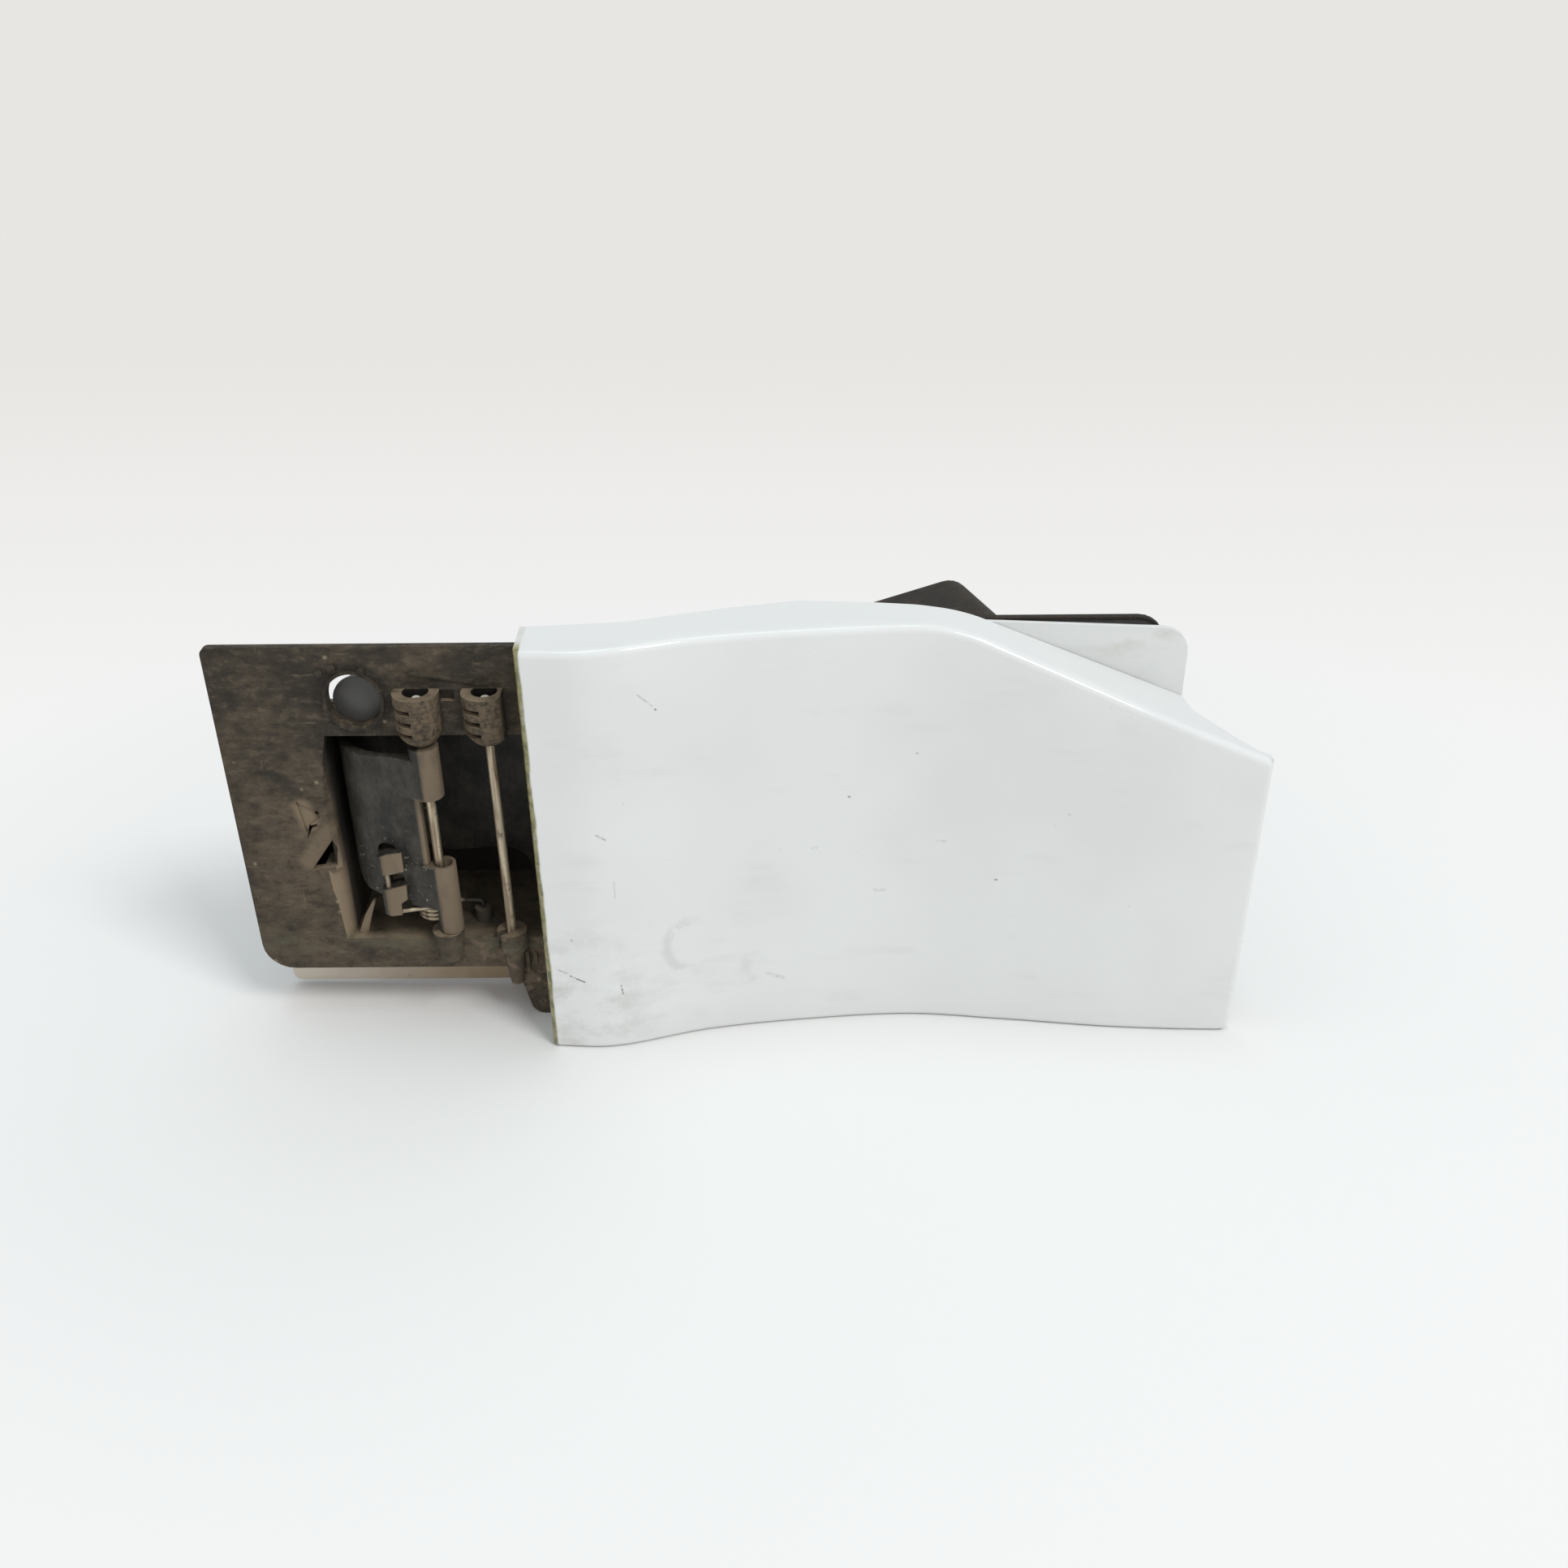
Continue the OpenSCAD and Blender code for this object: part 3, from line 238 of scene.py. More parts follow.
def face_grid(inset, r, gap, steps=8, columns=150, rows=14):
    """The face as a grid of x by z. Within the edge radius each row and column steps round the edge by
    equal angles, and a point there is set back by r - r sqrt(1 - cos^2 a - cos^2 b)."""
    a = np.linspace(0, np.pi / 2, steps + 1)
    run = np.linspace(0, 1, columns + 1)[1:-1]
    left, right = FLAP_L + inset, FLAP_R - inset
    x = np.concatenate([left + r * (1 - np.cos(a)), left + r + (right - left - 2 * r) * run,
                        right - r * (1 - np.cos(a[::-1]))])
    across = np.concatenate([np.cos(a), 0 * run, np.cos(a[::-1])])
    climb = np.linspace(0, 1, rows + 1)[1:-1]
    share = np.concatenate([0 * a, climb, 0 * a + 1])
    drop = np.concatenate([r * (1 - np.cos(a)), r + 0 * climb, r * (1 - np.cos(a[::-1]))])
    along = np.concatenate([np.cos(a), 0 * climb, np.cos(a[::-1])])
    low = FOOT_Z + inset + drop[:, None] + 0 * x
    high = top_at(x[None, :], inset + drop[:, None])
    z = low + (high - low) * share[:, None]
    lean = np.minimum(1, across[None, :] ** 2 + along[:, None] ** 2)
    y = face_at(x)[None, :] + gap + r * (1 - np.sqrt(1 - lean))
    return np.stack([np.broadcast_to(x, z.shape), y, z], axis=-1)


def rim_walk(rows, columns):
    """Row and column of each point round the rim of a grid: along its foot, up its right side,
    back along its top and down its left side."""
    j = np.concatenate([np.zeros(columns, int), np.arange(1, rows), np.full(columns - 1, rows - 1),
                        np.arange(rows - 2, 0, -1)])
    i = np.concatenate([np.arange(columns), np.full(rows - 1, columns - 1),
                        np.arange(columns - 2, -1, -1), np.zeros(rows - 2, int)])
    return j, i


def flap_skin():
    """Face outside and inside, and between them the returns: each point of the face's rim goes straight
    back to the return's end, and from there forward again inside."""
    outer, inner = face_grid(0, EDGE_R, 0), face_grid(SKIN_T, INNER_EDGE_R, SKIN_T)
    rows, columns = outer.shape[:2]
    j, i = rim_walk(rows, columns)
    rim_out, rim_in = outer[j, i], inner[j, i]
    x = rim_out[:, 0]
    depth_x, depth_end = np.array(RETURN_KNOTS).T
    upper_end = FACE_Y + np.interp(x - FLAP_L, depth_x, depth_end)
    end = np.where(j == 0, face_at(x) + LOWER_RETURN, upper_end)
    end = np.maximum(end, face_at(x) + 2 * SKIN_T)
    end_out = np.stack([x, end, rim_out[:, 2]], axis=-1)
    end_in = np.stack([rim_in[:, 0], end, rim_in[:, 2]], axis=-1)
    t = np.linspace(0, 1, 7)[:, None, None]
    walls = np.concatenate([rim_out + (end_out - rim_out) * t, end_in + (rim_in - end_in) * t])
    parts = [(face.reshape(-1, 3), grid_faces(rows, columns)) for face in (outer, inner)]
    parts.append((walls.reshape(-1, 3), grid_faces(len(walls), len(j), closed_columns=True)))
    return add_piece("flap_skin", *join_parts(parts + screw_bosses()), "flap")


def screw_bosses():
    """A boss at each of the arm's screws, as high as the gap to its foot, and at each of the panel's,
    up to the panel."""
    parts = []
    for n in (1, 2, 3):
        middle = middle_mm(f"arm_screw_{n}")
        inside = FACE_Y + SKIN_T
        parts.append(boss(middle, ARM_SCREW_R, inside - ARM_BOSS_SINK, inside + ARM_FOOT_GAP))
    for n in (1, 2, 3, 4):
        middle = middle_mm(f"panel_screw_{n}")
        inside = face_at(middle[0]) + SKIN_T
        parts.append(boss(middle, PANEL_SCREW_R, inside - PANEL_BOSS_SINK, PANEL_SEAT + PANEL_GAP))
    return parts


def boss(middle, bore, y0, y1):
    """A blind screw boss behind the skin, from y0 back to y1."""
    wall_r, floor = bore + BOSS_WALL, y0 + BOSS_FLOOR
    profile = [(0, y0), (wall_r, y0), (wall_r, y1), (bore, y1), (bore, floor), (0, floor)]
    return turned(profile, (middle[0], middle[2]))


# The spring, in millimetres from the pin's axis
WIRE_R = 0.75
COIL_R = 6
COIL_C = np.array([-4.2, COIL_R + 1.6])
COIL_TOP = -21.6
COIL_TURNS = 3
COIL_STEPS = 20
COIL_PITCH = 2 * WIRE_R + 0.15
END_X = -17.4
END_Y = -1.6
END_TOP = 0.9
END_BEND_R = 1.6
LUG_AT = np.array([9.5, COIL_C[1] + COIL_R])
LUG_BEND_R = 1.4
LUG_DEPTH = 5


def rounded_path(points, radius, steps=6):
    """A path with each inner corner replaced by a quadratic arc that starts and ends a radius from it."""
    points = np.array(points, float)
    made = [points[:1]]
    t = np.linspace(0, 1, steps)[:, None]
    for before, corner, after in zip(points, points[1:], points[2:]):
        reach_a = min(radius, 0.45 * np.linalg.norm(before - corner))
        reach_b = min(radius, 0.45 * np.linalg.norm(after - corner))
        start, end = corner + unit(before - corner) * reach_a, corner + unit(after - corner) * reach_b
        made.append((1 - t) ** 2 * start + 2 * t * (1 - t) * corner + t**2 * end)
    return np.concatenate([*made, points[-1:]])


def hinge_spring():
    """The upright end in the arm's clips, a straight leg on a tangent to the coil, turns that fall
    by one pitch each, and a leg down into the lug on the bay's floor. The coil ends at its rear, in line
    with the lug, on a whole step."""
    reach = np.linalg.norm(COIL_C - [END_X, END_Y])
    lean = math.atan2(COIL_C[1] - END_Y, COIL_C[0] - END_X) - math.asin(COIL_R / reach)
    turns = math.floor(COIL_STEPS * (COIL_TURNS + (math.degrees(lean) + 180) / 360)) / COIL_STEPS
    a = np.linspace(0, 2 * math.pi * turns, 140)
    turn = lean - math.pi / 2 - a
    coil = np.stack([COIL_C[0] + COIL_R * np.cos(turn), COIL_C[1] + COIL_R * np.sin(turn),
                     COIL_TOP - COIL_PITCH * a / (2 * math.pi)], axis=-1)
    bottom = coil[-1, 2]
    upper = rounded_path([[END_X, END_Y, END_TOP], [END_X, END_Y, COIL_TOP], coil[0]], END_BEND_R)
    lower = rounded_path([coil[-1], [*LUG_AT, bottom - 0.1], [*LUG_AT, bottom - LUG_DEPTH]], LUG_BEND_R)
    path = np.concatenate([upper[:-1], coil, lower[1:]]) + [PIN_X, PIN_Y, 0]
    return add_piece("hinge_spring", *wire_along(path, WIRE_R), None, smooth_angle=60)


# Materials


class Value:
    """One output of a node. Arithmetic on it adds Math nodes to the same material."""

    def __init__(self, look, socket):
        self.look, self.socket = look, socket

    def math(self, operation, *others, clamp=False):
        inputs = dict(enumerate((self, *others)))
        return self.look.node("ShaderNodeMath", {"operation": operation, "use_clamp": clamp}, inputs)

    def __add__(self, other):
        return self.math("ADD", other)

    def __mul__(self, other):
        return self.math("MULTIPLY", other)

    def __sub__(self, other):
        return self.math("SUBTRACT", other)

    def __rsub__(self, other):
        return (self * -1) + other

    __radd__, __rmul__ = __add__, __mul__

    def between(self, low, high):
        """0 below low and 1 above high, with a smooth step between. High below low turns it round."""
        return self.look.node("ShaderNodeMapRange", {"interpolation_type": "SMOOTHSTEP"},
                              {"Value": self, "From Min": low, "From Max": high})

    def greater(self, other):
        return self.math("MAXIMUM", other)

    def root(self):
        return self.math("SQRT")


class Look:
    """A material under way: its surface shader, its place on the piece, and one method for any node."""

    def __init__(self, name, **sockets):
        self.material = bpy.data.materials.new(name)
        self.material.use_nodes = True
        self.tree = self.material.node_tree
        self.surface = self.tree.nodes["Principled BSDF"]
        self.set(**sockets)
        self.place = self.node("ShaderNodeTexCoord", output="Object")
        self.facing = self.node("ShaderNodeTexCoord", output="Normal")

    def feed(self, socket, value):
        """Links a value to a socket, or writes a number or colour there."""
        if isinstance(value, Value):
            self.tree.links.new(value.socket, socket)
        elif isinstance(value, (tuple, list)) and len(value) == 3 and socket.type == "RGBA":
            socket.default_value = (*value, 1)
        else:
            socket.default_value = value

    def set(self, **sockets):
        """Feeds the surface shader's sockets; base_color is Base Color."""
        for name, value in sockets.items():
            self.feed(self.surface.inputs[name.replace("_", " ").title().replace("Ior", "IOR")], value)

    def node(self, kind, settings=None, inputs=None, output=0):
        """Any node, from its type, its settings, and the values or links of its sockets."""
        made = self.tree.nodes.new(kind)
        for name, value in (settings or {}).items():
            setattr(made, name, value)
        for name, value in (inputs or {}).items():
            self.feed(made.inputs[name], value)
        return Value(self, made.outputs[output])

    def axis(self, name, vector=None):
        """One of X, Y and Z, in millimetres of the place or as it is of another vector."""
        part = self.node("ShaderNodeSeparateXYZ", inputs={0: vector or self.place}, output=name)
        return part * (1 if vector else 1 / MM)

    def axes(self):
        """X, Y and Z of the place, in millimetres."""
        return [self.axis(name) for name in "XYZ"]

    def stretched(self, size, stretch, shift):
        """The place in cells of a size in mm, drawn out along an axis by stretch and moved by shift."""
        scale = [1 / (size * MM * s) for s in stretch]
        inputs = {"Vector": self.place, "Scale": scale, "Location": shift}
        return self.node("ShaderNodeMapping", inputs=inputs)

    def noise(self, size, detail=3, roughness=0.55, stretch=(1, 1, 1), shift=(0, 0, 0)):
        """Noise from 0 to 1 whose blotches are about size mm across."""
        inputs = {"Vector": self.stretched(size, stretch, shift), "Scale": 1.0, "Detail": detail,
                  "Roughness": roughness}
        return self.node("ShaderNodeTexNoise", inputs=inputs)

    def specks(self, size, share, shift=(0, 0, 0)):
        """Small round specks in some of the cells of a grid of cells of that size in mm, each 0 to 1."""
        inputs = {"Vector": self.stretched(size, (1, 1, 1), shift), "Scale": 1.0}
        off, chance = (self.node("ShaderNodeTexVoronoi", inputs=inputs, output=output)
                       for output in ("Distance", "Color"))
        chosen = self.node("ShaderNodeSeparateColor", inputs={0: chance}, output=0)
        return off.between(0.22, 0.1) * chosen.between(1 - share, 1 - share + 0.02)

    def stroke(self, x, z, start, end, width):
        """1 on a line in X and Z and 0 at a width from it: distance |p - a - t (b - a)|, t held in 0 to 1."""
        run_x, run_z = end[0] - start[0], end[1] - start[1]
        dx, dz = x - start[0], z - start[1]
        t = ((dx * run_x + dz * run_z) * (1 / (run_x**2 + run_z**2))).math("ADD", 0, clamp=True)
        off_x, off_z = dx - t * run_x, dz - t * run_z
        return (off_x * off_x + off_z * off_z).root().between(width, width * 0.25)

    def hoop(self, x, z, centre, radius, width):
        """1 on a circle in X and Z and 0 at a width from it: distance | |p - c| - r |."""
        dx, dz = x - centre[0], z - centre[1]
        return ((dx * dx + dz * dz).root() - radius).math("ABSOLUTE").between(width, width * 0.2)

    def mix(self, a, b, factor):
        """Colour a at factor 0 and colour b at factor 1."""
        return self.node("ShaderNodeMix", {"data_type": "RGBA"}, {0: factor, 6: a, 7: b}, output=2)

    def bump(self, height, distance_mm):
        """Bumps of a height from 0 to 1 times a distance in mm."""
        inputs = {"Height": height, "Distance": distance_mm * MM, "Strength": 1.0}
        self.set(normal=self.node("ShaderNodeBump", inputs=inputs))

    def put(self, *objects):
        """Makes this the one material of each object."""
        for o in objects:
            o.data.materials.clear()
            o.data.materials.append(self.material)


def srgb(r, g, b):
    """A colour as a picture has it, 0 to 255, as a linear colour."""
    c = np.array([r, g, b]) / 255
    return tuple(float(v) for v in np.where(c <= 0.04045, c / 12.92, ((c + 0.055) / 1.055) ** 2.4))


# Marks on the flap's face: start and end in X and Z, width, strength
STROKES = [((-101.2, -37), (-96.6, -39.3), 0.45, 1), ((-105.2, -34.6), (-102.4, -35.9), 0.4, 0.6),
           ((-84.7, -41.6), (-84.3, -45), 0.45, 0.8), ((-88.9, 18.4), (-86.2, 16.4), 0.5, 0.55),
           ((-84.6, 0.5), (-84.6, -6), 0.4, 0.25), ((-73.7, 65.9), (-69.6, 61.4), 0.4, 0.4),
           ((-68.9, 60.2), (-68.7, 60), 0.5, 1), ((-9.3, 22.7), (-9.1, 22.4), 0.6, 0.9),
           ((39.2, -8.9), (39.7, -8.8), 0.5, 0.8), ((12, 38), (12.2, 37.8), 0.5, 0.5),
           ((-21, 4), (-19.5, 3.8), 0.7, 0.2), ((20, 5), (22.5, 5.1), 0.8, 0.2),
           ((-36, -46), (-31, -48), 1.2, 0.25), ((61, 18), (61.2, 18), 0.5, 0.5),
           ((0, -14), (3, -14.2), 0.9, 0.2), ((-100, -22), (-99.6, -22.4), 0.5, 0.5)]

# Worn arcs on the face: middle in X and Z, radius, width, strength
HOOPS = [((-59.5, -30), 10, 2.8, 0.16), ((-38.6, -43), 5.5, 3.6, 0.11)]


def white_gloss_paint():
    """The flap's skin: gloss paint with a film of dust low down by the hinge end and faint smears,
    marked on the face and grown over along the hinge end's edge."""
    look = Look("white_gloss_paint", coat_weight=1.0, coat_roughness=0.02, specular_ior_level=0.15)
    x, _, z = look.axes()
    cloud = look.noise(60, detail=2).between(0.35, 0.75)
    colour = look.mix(srgb(220, 222, 221), srgb(216, 217, 217), cloud)
    film = x.between(FLAP_L + 60, FLAP_L) * z.between(FOOT_Z + 66, FOOT_Z + 24)
    film = film * look.noise(9, detail=5, roughness=0.65, stretch=(1.6, 1, 1)).between(0.4, 0.72)
    colour = look.mix(colour, srgb(174, 172, 168), film * 0.6)
    smear = look.noise(7, detail=5, stretch=(5, 1, 1)).between(0.52, 0.75)
    smear = smear * look.noise(30, shift=(3, 1, 2)).between(0.42, 0.62)
    colour = look.mix(colour, srgb(184, 184, 184), smear * 0.17)
    colour = face_marks(look, colour)
    colour, growth = edge_growth(look, colour)
    look.set(base_color=colour, roughness=0.3 + film * 0.3 + growth * 0.4)
    look.bump(look.noise(2.2, detail=1), 0.006)
    return look


def face_marks(look, colour):
    """Scratches, the left halves of worn arcs, and tiny specks, on the face alone."""
    x, _, z = look.axes()
    on_face = look.axis("Y", look.facing).between(-0.5, -0.8)
    mark = look.noise(1.2, detail=1, shift=(2, 0, 1)).between(0.79, 0.84) * 0.4
    rough = look.noise(1.1, detail=2, shift=(6, 2, 4)).between(0.3, 0.55)
    for start, end, width, strength in STROKES:
        mark = mark.greater(look.stroke(x, z, start, end, width) * rough * strength)
    broken = look.noise(5, detail=4, roughness=0.7).between(0.38, 0.62)
    for centre, radius, width, strength in HOOPS:
        left_half = x.between(centre[0] + 0.5 * radius, centre[0] - 0.5 * radius)
        arc = look.hoop(x, z, centre, radius, width) * broken * left_half
        mark = mark.greater(arc * strength)
    return look.mix(colour, srgb(96, 90, 80), mark * on_face * 0.85)


def edge_growth(look, colour):
    """Green and brown growth along the hinge end's edge, weaker on the side wall. Gives the colour and
    the growth's mask."""
    x, y, _ = look.axes()
    wander = look.noise(9, detail=4, stretch=(1, 1, 1.6))
    band = (x - FLAP_L) - (wander * 1.8 + 0.95)
    growth = band.between(0.4, -0.4) * (y.between(FACE_Y + 9, FACE_Y + 3) * 0.8 + 0.2)
    green = look.noise(4, shift=(5, 5, 5)).between(0.4, 0.65)
    tint = look.mix(srgb(146, 140, 100), srgb(98, 98, 52), green)
    patches = look.noise(10, shift=(1, 7, 3)).between(0.15, 0.42)
    return look.mix(colour, tint, growth * patches), growth


def inner_white_paint():
    """The inner panel: the flap's white with less gloss, grime and a few brown specks."""
    look = Look("inner_white_paint", coat_weight=0.25, coat_roughness=0.15)
    grime = look.noise(8, detail=5, stretch=(2, 1, 1)).between(0.5, 0.75)
    colour = look.mix(srgb(212, 214, 213), srgb(178, 170, 156), grime * 0.35)
    colour = look.mix(colour, srgb(120, 104, 84), look.specks(5, 0.12) * 0.7)
    look.set(base_color=colour, roughness=0.35 + grime * 0.2)
    look.bump(look.noise(3), 0.01)
    return look


def dusty_moulding():
    """The pocket: black plastic under a brown film, wiped in level strokes, paler where dust lies,
    with painted shade in the bay, in the lugs' mouths and slots and behind the flap.
    """
    look = Look("dusty_moulding", specular_ior_level=0.25)
    strokes = look.noise(3.4, detail=6, roughness=0.7, stretch=(5, 3, 1))
    blotch = look.noise(17, detail=5, roughness=0.65, shift=(4, 0, 2))
    grain = look.noise(2.6, detail=6, roughness=0.75, stretch=(1.9, 1.2, 1), shift=(1, 2, 3))
    thicker_low = look.axis("Z").between(LUG_TOP - 5.6, LUG_TOP - 55.6)
    film = (strokes * 0.3 + blotch * 0.86 + thicker_low * 0.12 - 0.05).between(0.4, 0.8)
    colour = look.mix(srgb(50, 45, 38), srgb(88, 78, 65), film)
    colour = grained_and_scratched(look, colour, grain)
    for layer in (lying_dust, pale_wedge, dirty_hole, lug_dust_and_slot_shade, grimy_sill):
        colour = layer(look, colour)
    colour = pale_strip(look, colour, blotch)
    specks = look.specks(5, 0.14, shift=(3, 3, 3)).math("POWER", 2)
    colour = look.mix(colour, srgb(150, 138, 118), specks * 0.5)
    # painted shade in the bay and behind the flap
    colour = bay_and_back_shade(look, colour, blotch)
    look.set(base_color=colour, roughness=0.7 + film * 0.2)
    look.bump(grain * 0.7 + strokes * 0.4, 0.25)
    return look


def grained_and_scratched(look, colour, grain):
    """Pale and dark grains of dust, and scratches across the plate, level and slanted."""
    colour = look.mix(colour, srgb(118, 105, 88), grain.between(0.5, 0.68) * 0.34)
    colour = look.mix(colour, srgb(36, 32, 28), grain.between(0.48, 0.36) * 0.5)
    scratch = look.noise(1.5, detail=3, stretch=(16, 5, 1), shift=(7, 1, 4)).between(0.66, 0.76)
    slant = look.noise(1.4, detail=3, stretch=(1, 4, 12), shift=(2, 6, 8)).between(0.68, 0.78)
    return look.mix(colour, srgb(128, 116, 98), scratch.greater(slant) * 0.4)


def lying_dust(look, colour):
    """Dust on what faces up, below the plate's upper edge, and on the ramp left of the bay."""
    x, _, z = look.axes()
    facing_up = look.axis("Z", look.facing).between(0.3, 0.9)
    facing_right = look.axis("X", look.facing).between(0.35, 0.7)
    lying = facing_up * look.noise(6).between(0.2, 0.6) * z.between(LUG_TOP + 4.1, LUG_TOP + 1.1)
    ramp = facing_right * x.between(PIN_X - 20, PIN_X - 28) * z.between(BAY_FOOT + 45, BAY_FOOT + 23)
    return look.mix(colour, srgb(140, 124, 103), (lying * 0.7).greater(ramp))


def pale_wedge(look, colour):
    """The pale wedge and the strap left of the bay, and the fin in its lower corner, from in front."""
    x, y, z = look.axes()
    wedge = look.stroke(x, z, (PIN_X - 42.5, 17.6), (PIN_X - 41, 11.5), 4.6)
    strap = look.stroke(x, z, (PIN_X - 43.8, -3.6), (PIN_X - 35.8, 8.5), 4.4) * 0.55
    fin = look.stroke(x, z, (PIN_X - 31.5, BAY_FOOT), (PIN_X - 26.5, BAY_FOOT + 12), 3)
    fin = fin * y.between(PLATE_Y, PLATE_Y + 1.4)
    pale = wedge.greater(strap).greater(fin) * y.between(PLATE_Y + 7, PLATE_Y + 5)
    patches = look.noise(5, detail=4).between(0.1, 0.42)
    return look.mix(colour, srgb(128, 113, 93), pale * patches * 0.85)


def dirty_hole(look, colour):
    """Dirt round the access hole."""
    x, _, z = look.axes()
    dirt = look.hoop(x, z, (HOLE_X, HOLE_Z), 10.6, 3.4) * look.noise(3, detail=4).between(0.3, 0.55)
    return look.mix(colour, srgb(36, 32, 27), dirt * 0.8)


def lug_dust_and_slot_shade(look, colour):
    """Dust on the lugs in front of the plate, and painted shade in their mouths and slots round the pins."""
    x, y, z = look.axes()
    dust = y.between(PLATE_Y - 2, PLATE_Y - 4) * z.between(LUG_TOP - 21.9, LUG_TOP - 17.9)
    dust = dust * look.noise(2, detail=5, roughness=0.7).between(0.36, 0.6)
    colour = look.mix(colour, srgb(110, 95, 76), dust * 0.7)
    # painted shade in each lug's mouth and slots round its pin
    for lug_x in (PIN_X, ROD_X):
        dx, dy = x - lug_x, y - PIN_Y
        hollow = (dx * dx + dy * dy).root().between(5.7, 4.9)
        hollow = hollow * z.between(LUG_TOP - 14.9, LUG_TOP - 13.9) * z.between(LUG_TOP, LUG_TOP - 0.4)
        hollow = hollow * y.between(PLATE_Y + 1.6, PLATE_Y + 1.1)
        colour = look.mix(colour, srgb(16, 14, 12), hollow * 0.9)
    return colour


def grimy_sill(look, colour):
    """Greenish grime along the sill under the bay, and mud round the feet of the pin and the rod."""
    x, y, z = look.axes()
    sill = z.between(BAY_FOOT + 4, BAY_FOOT) * z.between(BAY_FOOT - 7, BAY_FOOT - 3)
    sill = sill * look.noise(8, detail=4).between(0.35, 0.65)
    colour = look.mix(colour, srgb(92, 92, 74), sill * 0.45)
    mud = z.between(BAY_FOOT + 9, BAY_FOOT + 1) * x.between(PIN_X - 2, PIN_X + 8)
    mud = mud * look.noise(3.5, detail=5).between(0.5, 0.62) * y.between(PLATE_Y + 4, PLATE_Y)
    return look.mix(colour, srgb(112, 97, 82), mud * 0.7)


def pale_strip(look, colour, blotch):
    """A paler colour on the rim's strip under the plate, strongest at its left end and gone under the flap.
    """
    x, y, z = look.axes()
    facing_down = look.axis("Z", look.facing).between(-0.4, -0.8)
    strip = z.between(BAY_FOOT - 11, BAY_FOOT - 15) * x.between(FLAP_L + 15, FLAP_L)
    strip = strip * y.between(RIM_Y - 1.5, RIM_Y - 0.2) * y.between(RIM_Y + 2, RIM_Y + 1)
    along = x.between(PLATE_L + 0.6, PLATE_L + 76.6)
    pale = look.mix(srgb(214, 204, 190), srgb(160, 141, 117), along + (blotch - 0.5) * 0.5)
    return look.mix(colour, pale, strip * (1 - facing_down))


def bay_and_back_shade(look, colour, blotch):
    """Painted shade inside the bay and on the back, to the right behind the flap, patchy there;
    lighter on faces that look up in the bay, and greyer low down on the bay's right.
    """
    x, y, z = look.axes()
    facing_up = look.axis("Z", look.facing).between(0.5, 0.9)
    # painted shade inside the bay, lighter on faces that look up
    inside = y.between(PLATE_Y + 2.5, PLATE_Y + 8) * x.between(PIN_X + 64, PIN_X + 60)
    inside = inside * z.between(BAY_FOOT - 8, BAY_FOOT - 6)
    inside = inside * (1 - facing_up * (x.between(PIN_X + 8, PIN_X - 3) * 0.2 + 0.45))
    # painted shade on the back, to the right behind the flap, patchy with the blotches
    behind = x.between(PIN_X + 44, PIN_X + 60)
    low_right = z.between(BAY_FOOT + 30, BAY_FOOT + 24) * x.between(PIN_X + 3, PIN_X + 7)
    low_right = low_right * y.between(RIM_Y + 17, RIM_Y + 11)
    # the painted shade's colour, greyer low down on the bay's right
    dark = look.mix(srgb(34, 32, 30), srgb(66, 62, 56), low_right * inside)
    return look.mix(colour, dark, (inside * 0.9).greater(behind * (1.1 - blotch * 0.8)))


def arm_moulding():
    """The arm: clean dark grey over its broad face, brown where dust lies on knuckles and clips,
    with pale chips by the clips."""
    look = Look("arm_moulding", specular_ior_level=0.3)
    x, y, z = look.axes()
    cloud = look.noise(6, detail=6, roughness=0.75, stretch=(1, 1, 1.6)).between(0.36, 0.68)
    colour = look.mix(srgb(38, 37, 34), srgb(66, 62, 55), cloud)
    edge = z.between(UPPER_KNUCKLE_FOOT + 1.2, UPPER_KNUCKLE_FOOT - 0.8)
    edge = edge * z.between(LOWER_KNUCKLE_TOP - 1.1, LOWER_KNUCKLE_TOP + 0.9)
    edge = edge * x.between(PIN_X - 5.4, PIN_X - 4)
    knuckle = x.between(PIN_X - 1.6, PIN_X - 0.2).greater(edge) * x.between(PIN_X + 12, PIN_X + 8)
    knuckle = knuckle * y.between(PIN_Y + 8, PIN_Y + 5)
    clip = y.between(CLIP_FRONT + 1.2, CLIP_FRONT + 0.4) * x.between(CLIP_RIGHT + 0.7, CLIP_RIGHT + 0.1)
    dust = knuckle.greater(clip) * look.noise(5, detail=4, stretch=(1, 1, 3)).between(0.02, 0.5)
    colour = look.mix(colour, srgb(120, 106, 88), dust * 0.9)
    by_clips = x.between(PIN_X - 2, PIN_X - 5) * z.between(-26, -16) * z.between(14, 4)
    by_clips = by_clips * look.noise(7, detail=2, shift=(8, 2, 5)).between(0.45, 0.55)
    chips = look.noise(1.7, detail=2, roughness=0.7, shift=(4, 4, 4)).between(0.64, 0.7)
    colour = look.mix(colour, srgb(160, 154, 138), chips * by_clips * 0.7)
    look.set(base_color=colour, roughness=0.55 + dust * 0.3)
    look.bump(look.noise(0.9, detail=3), 0.06)
    return look


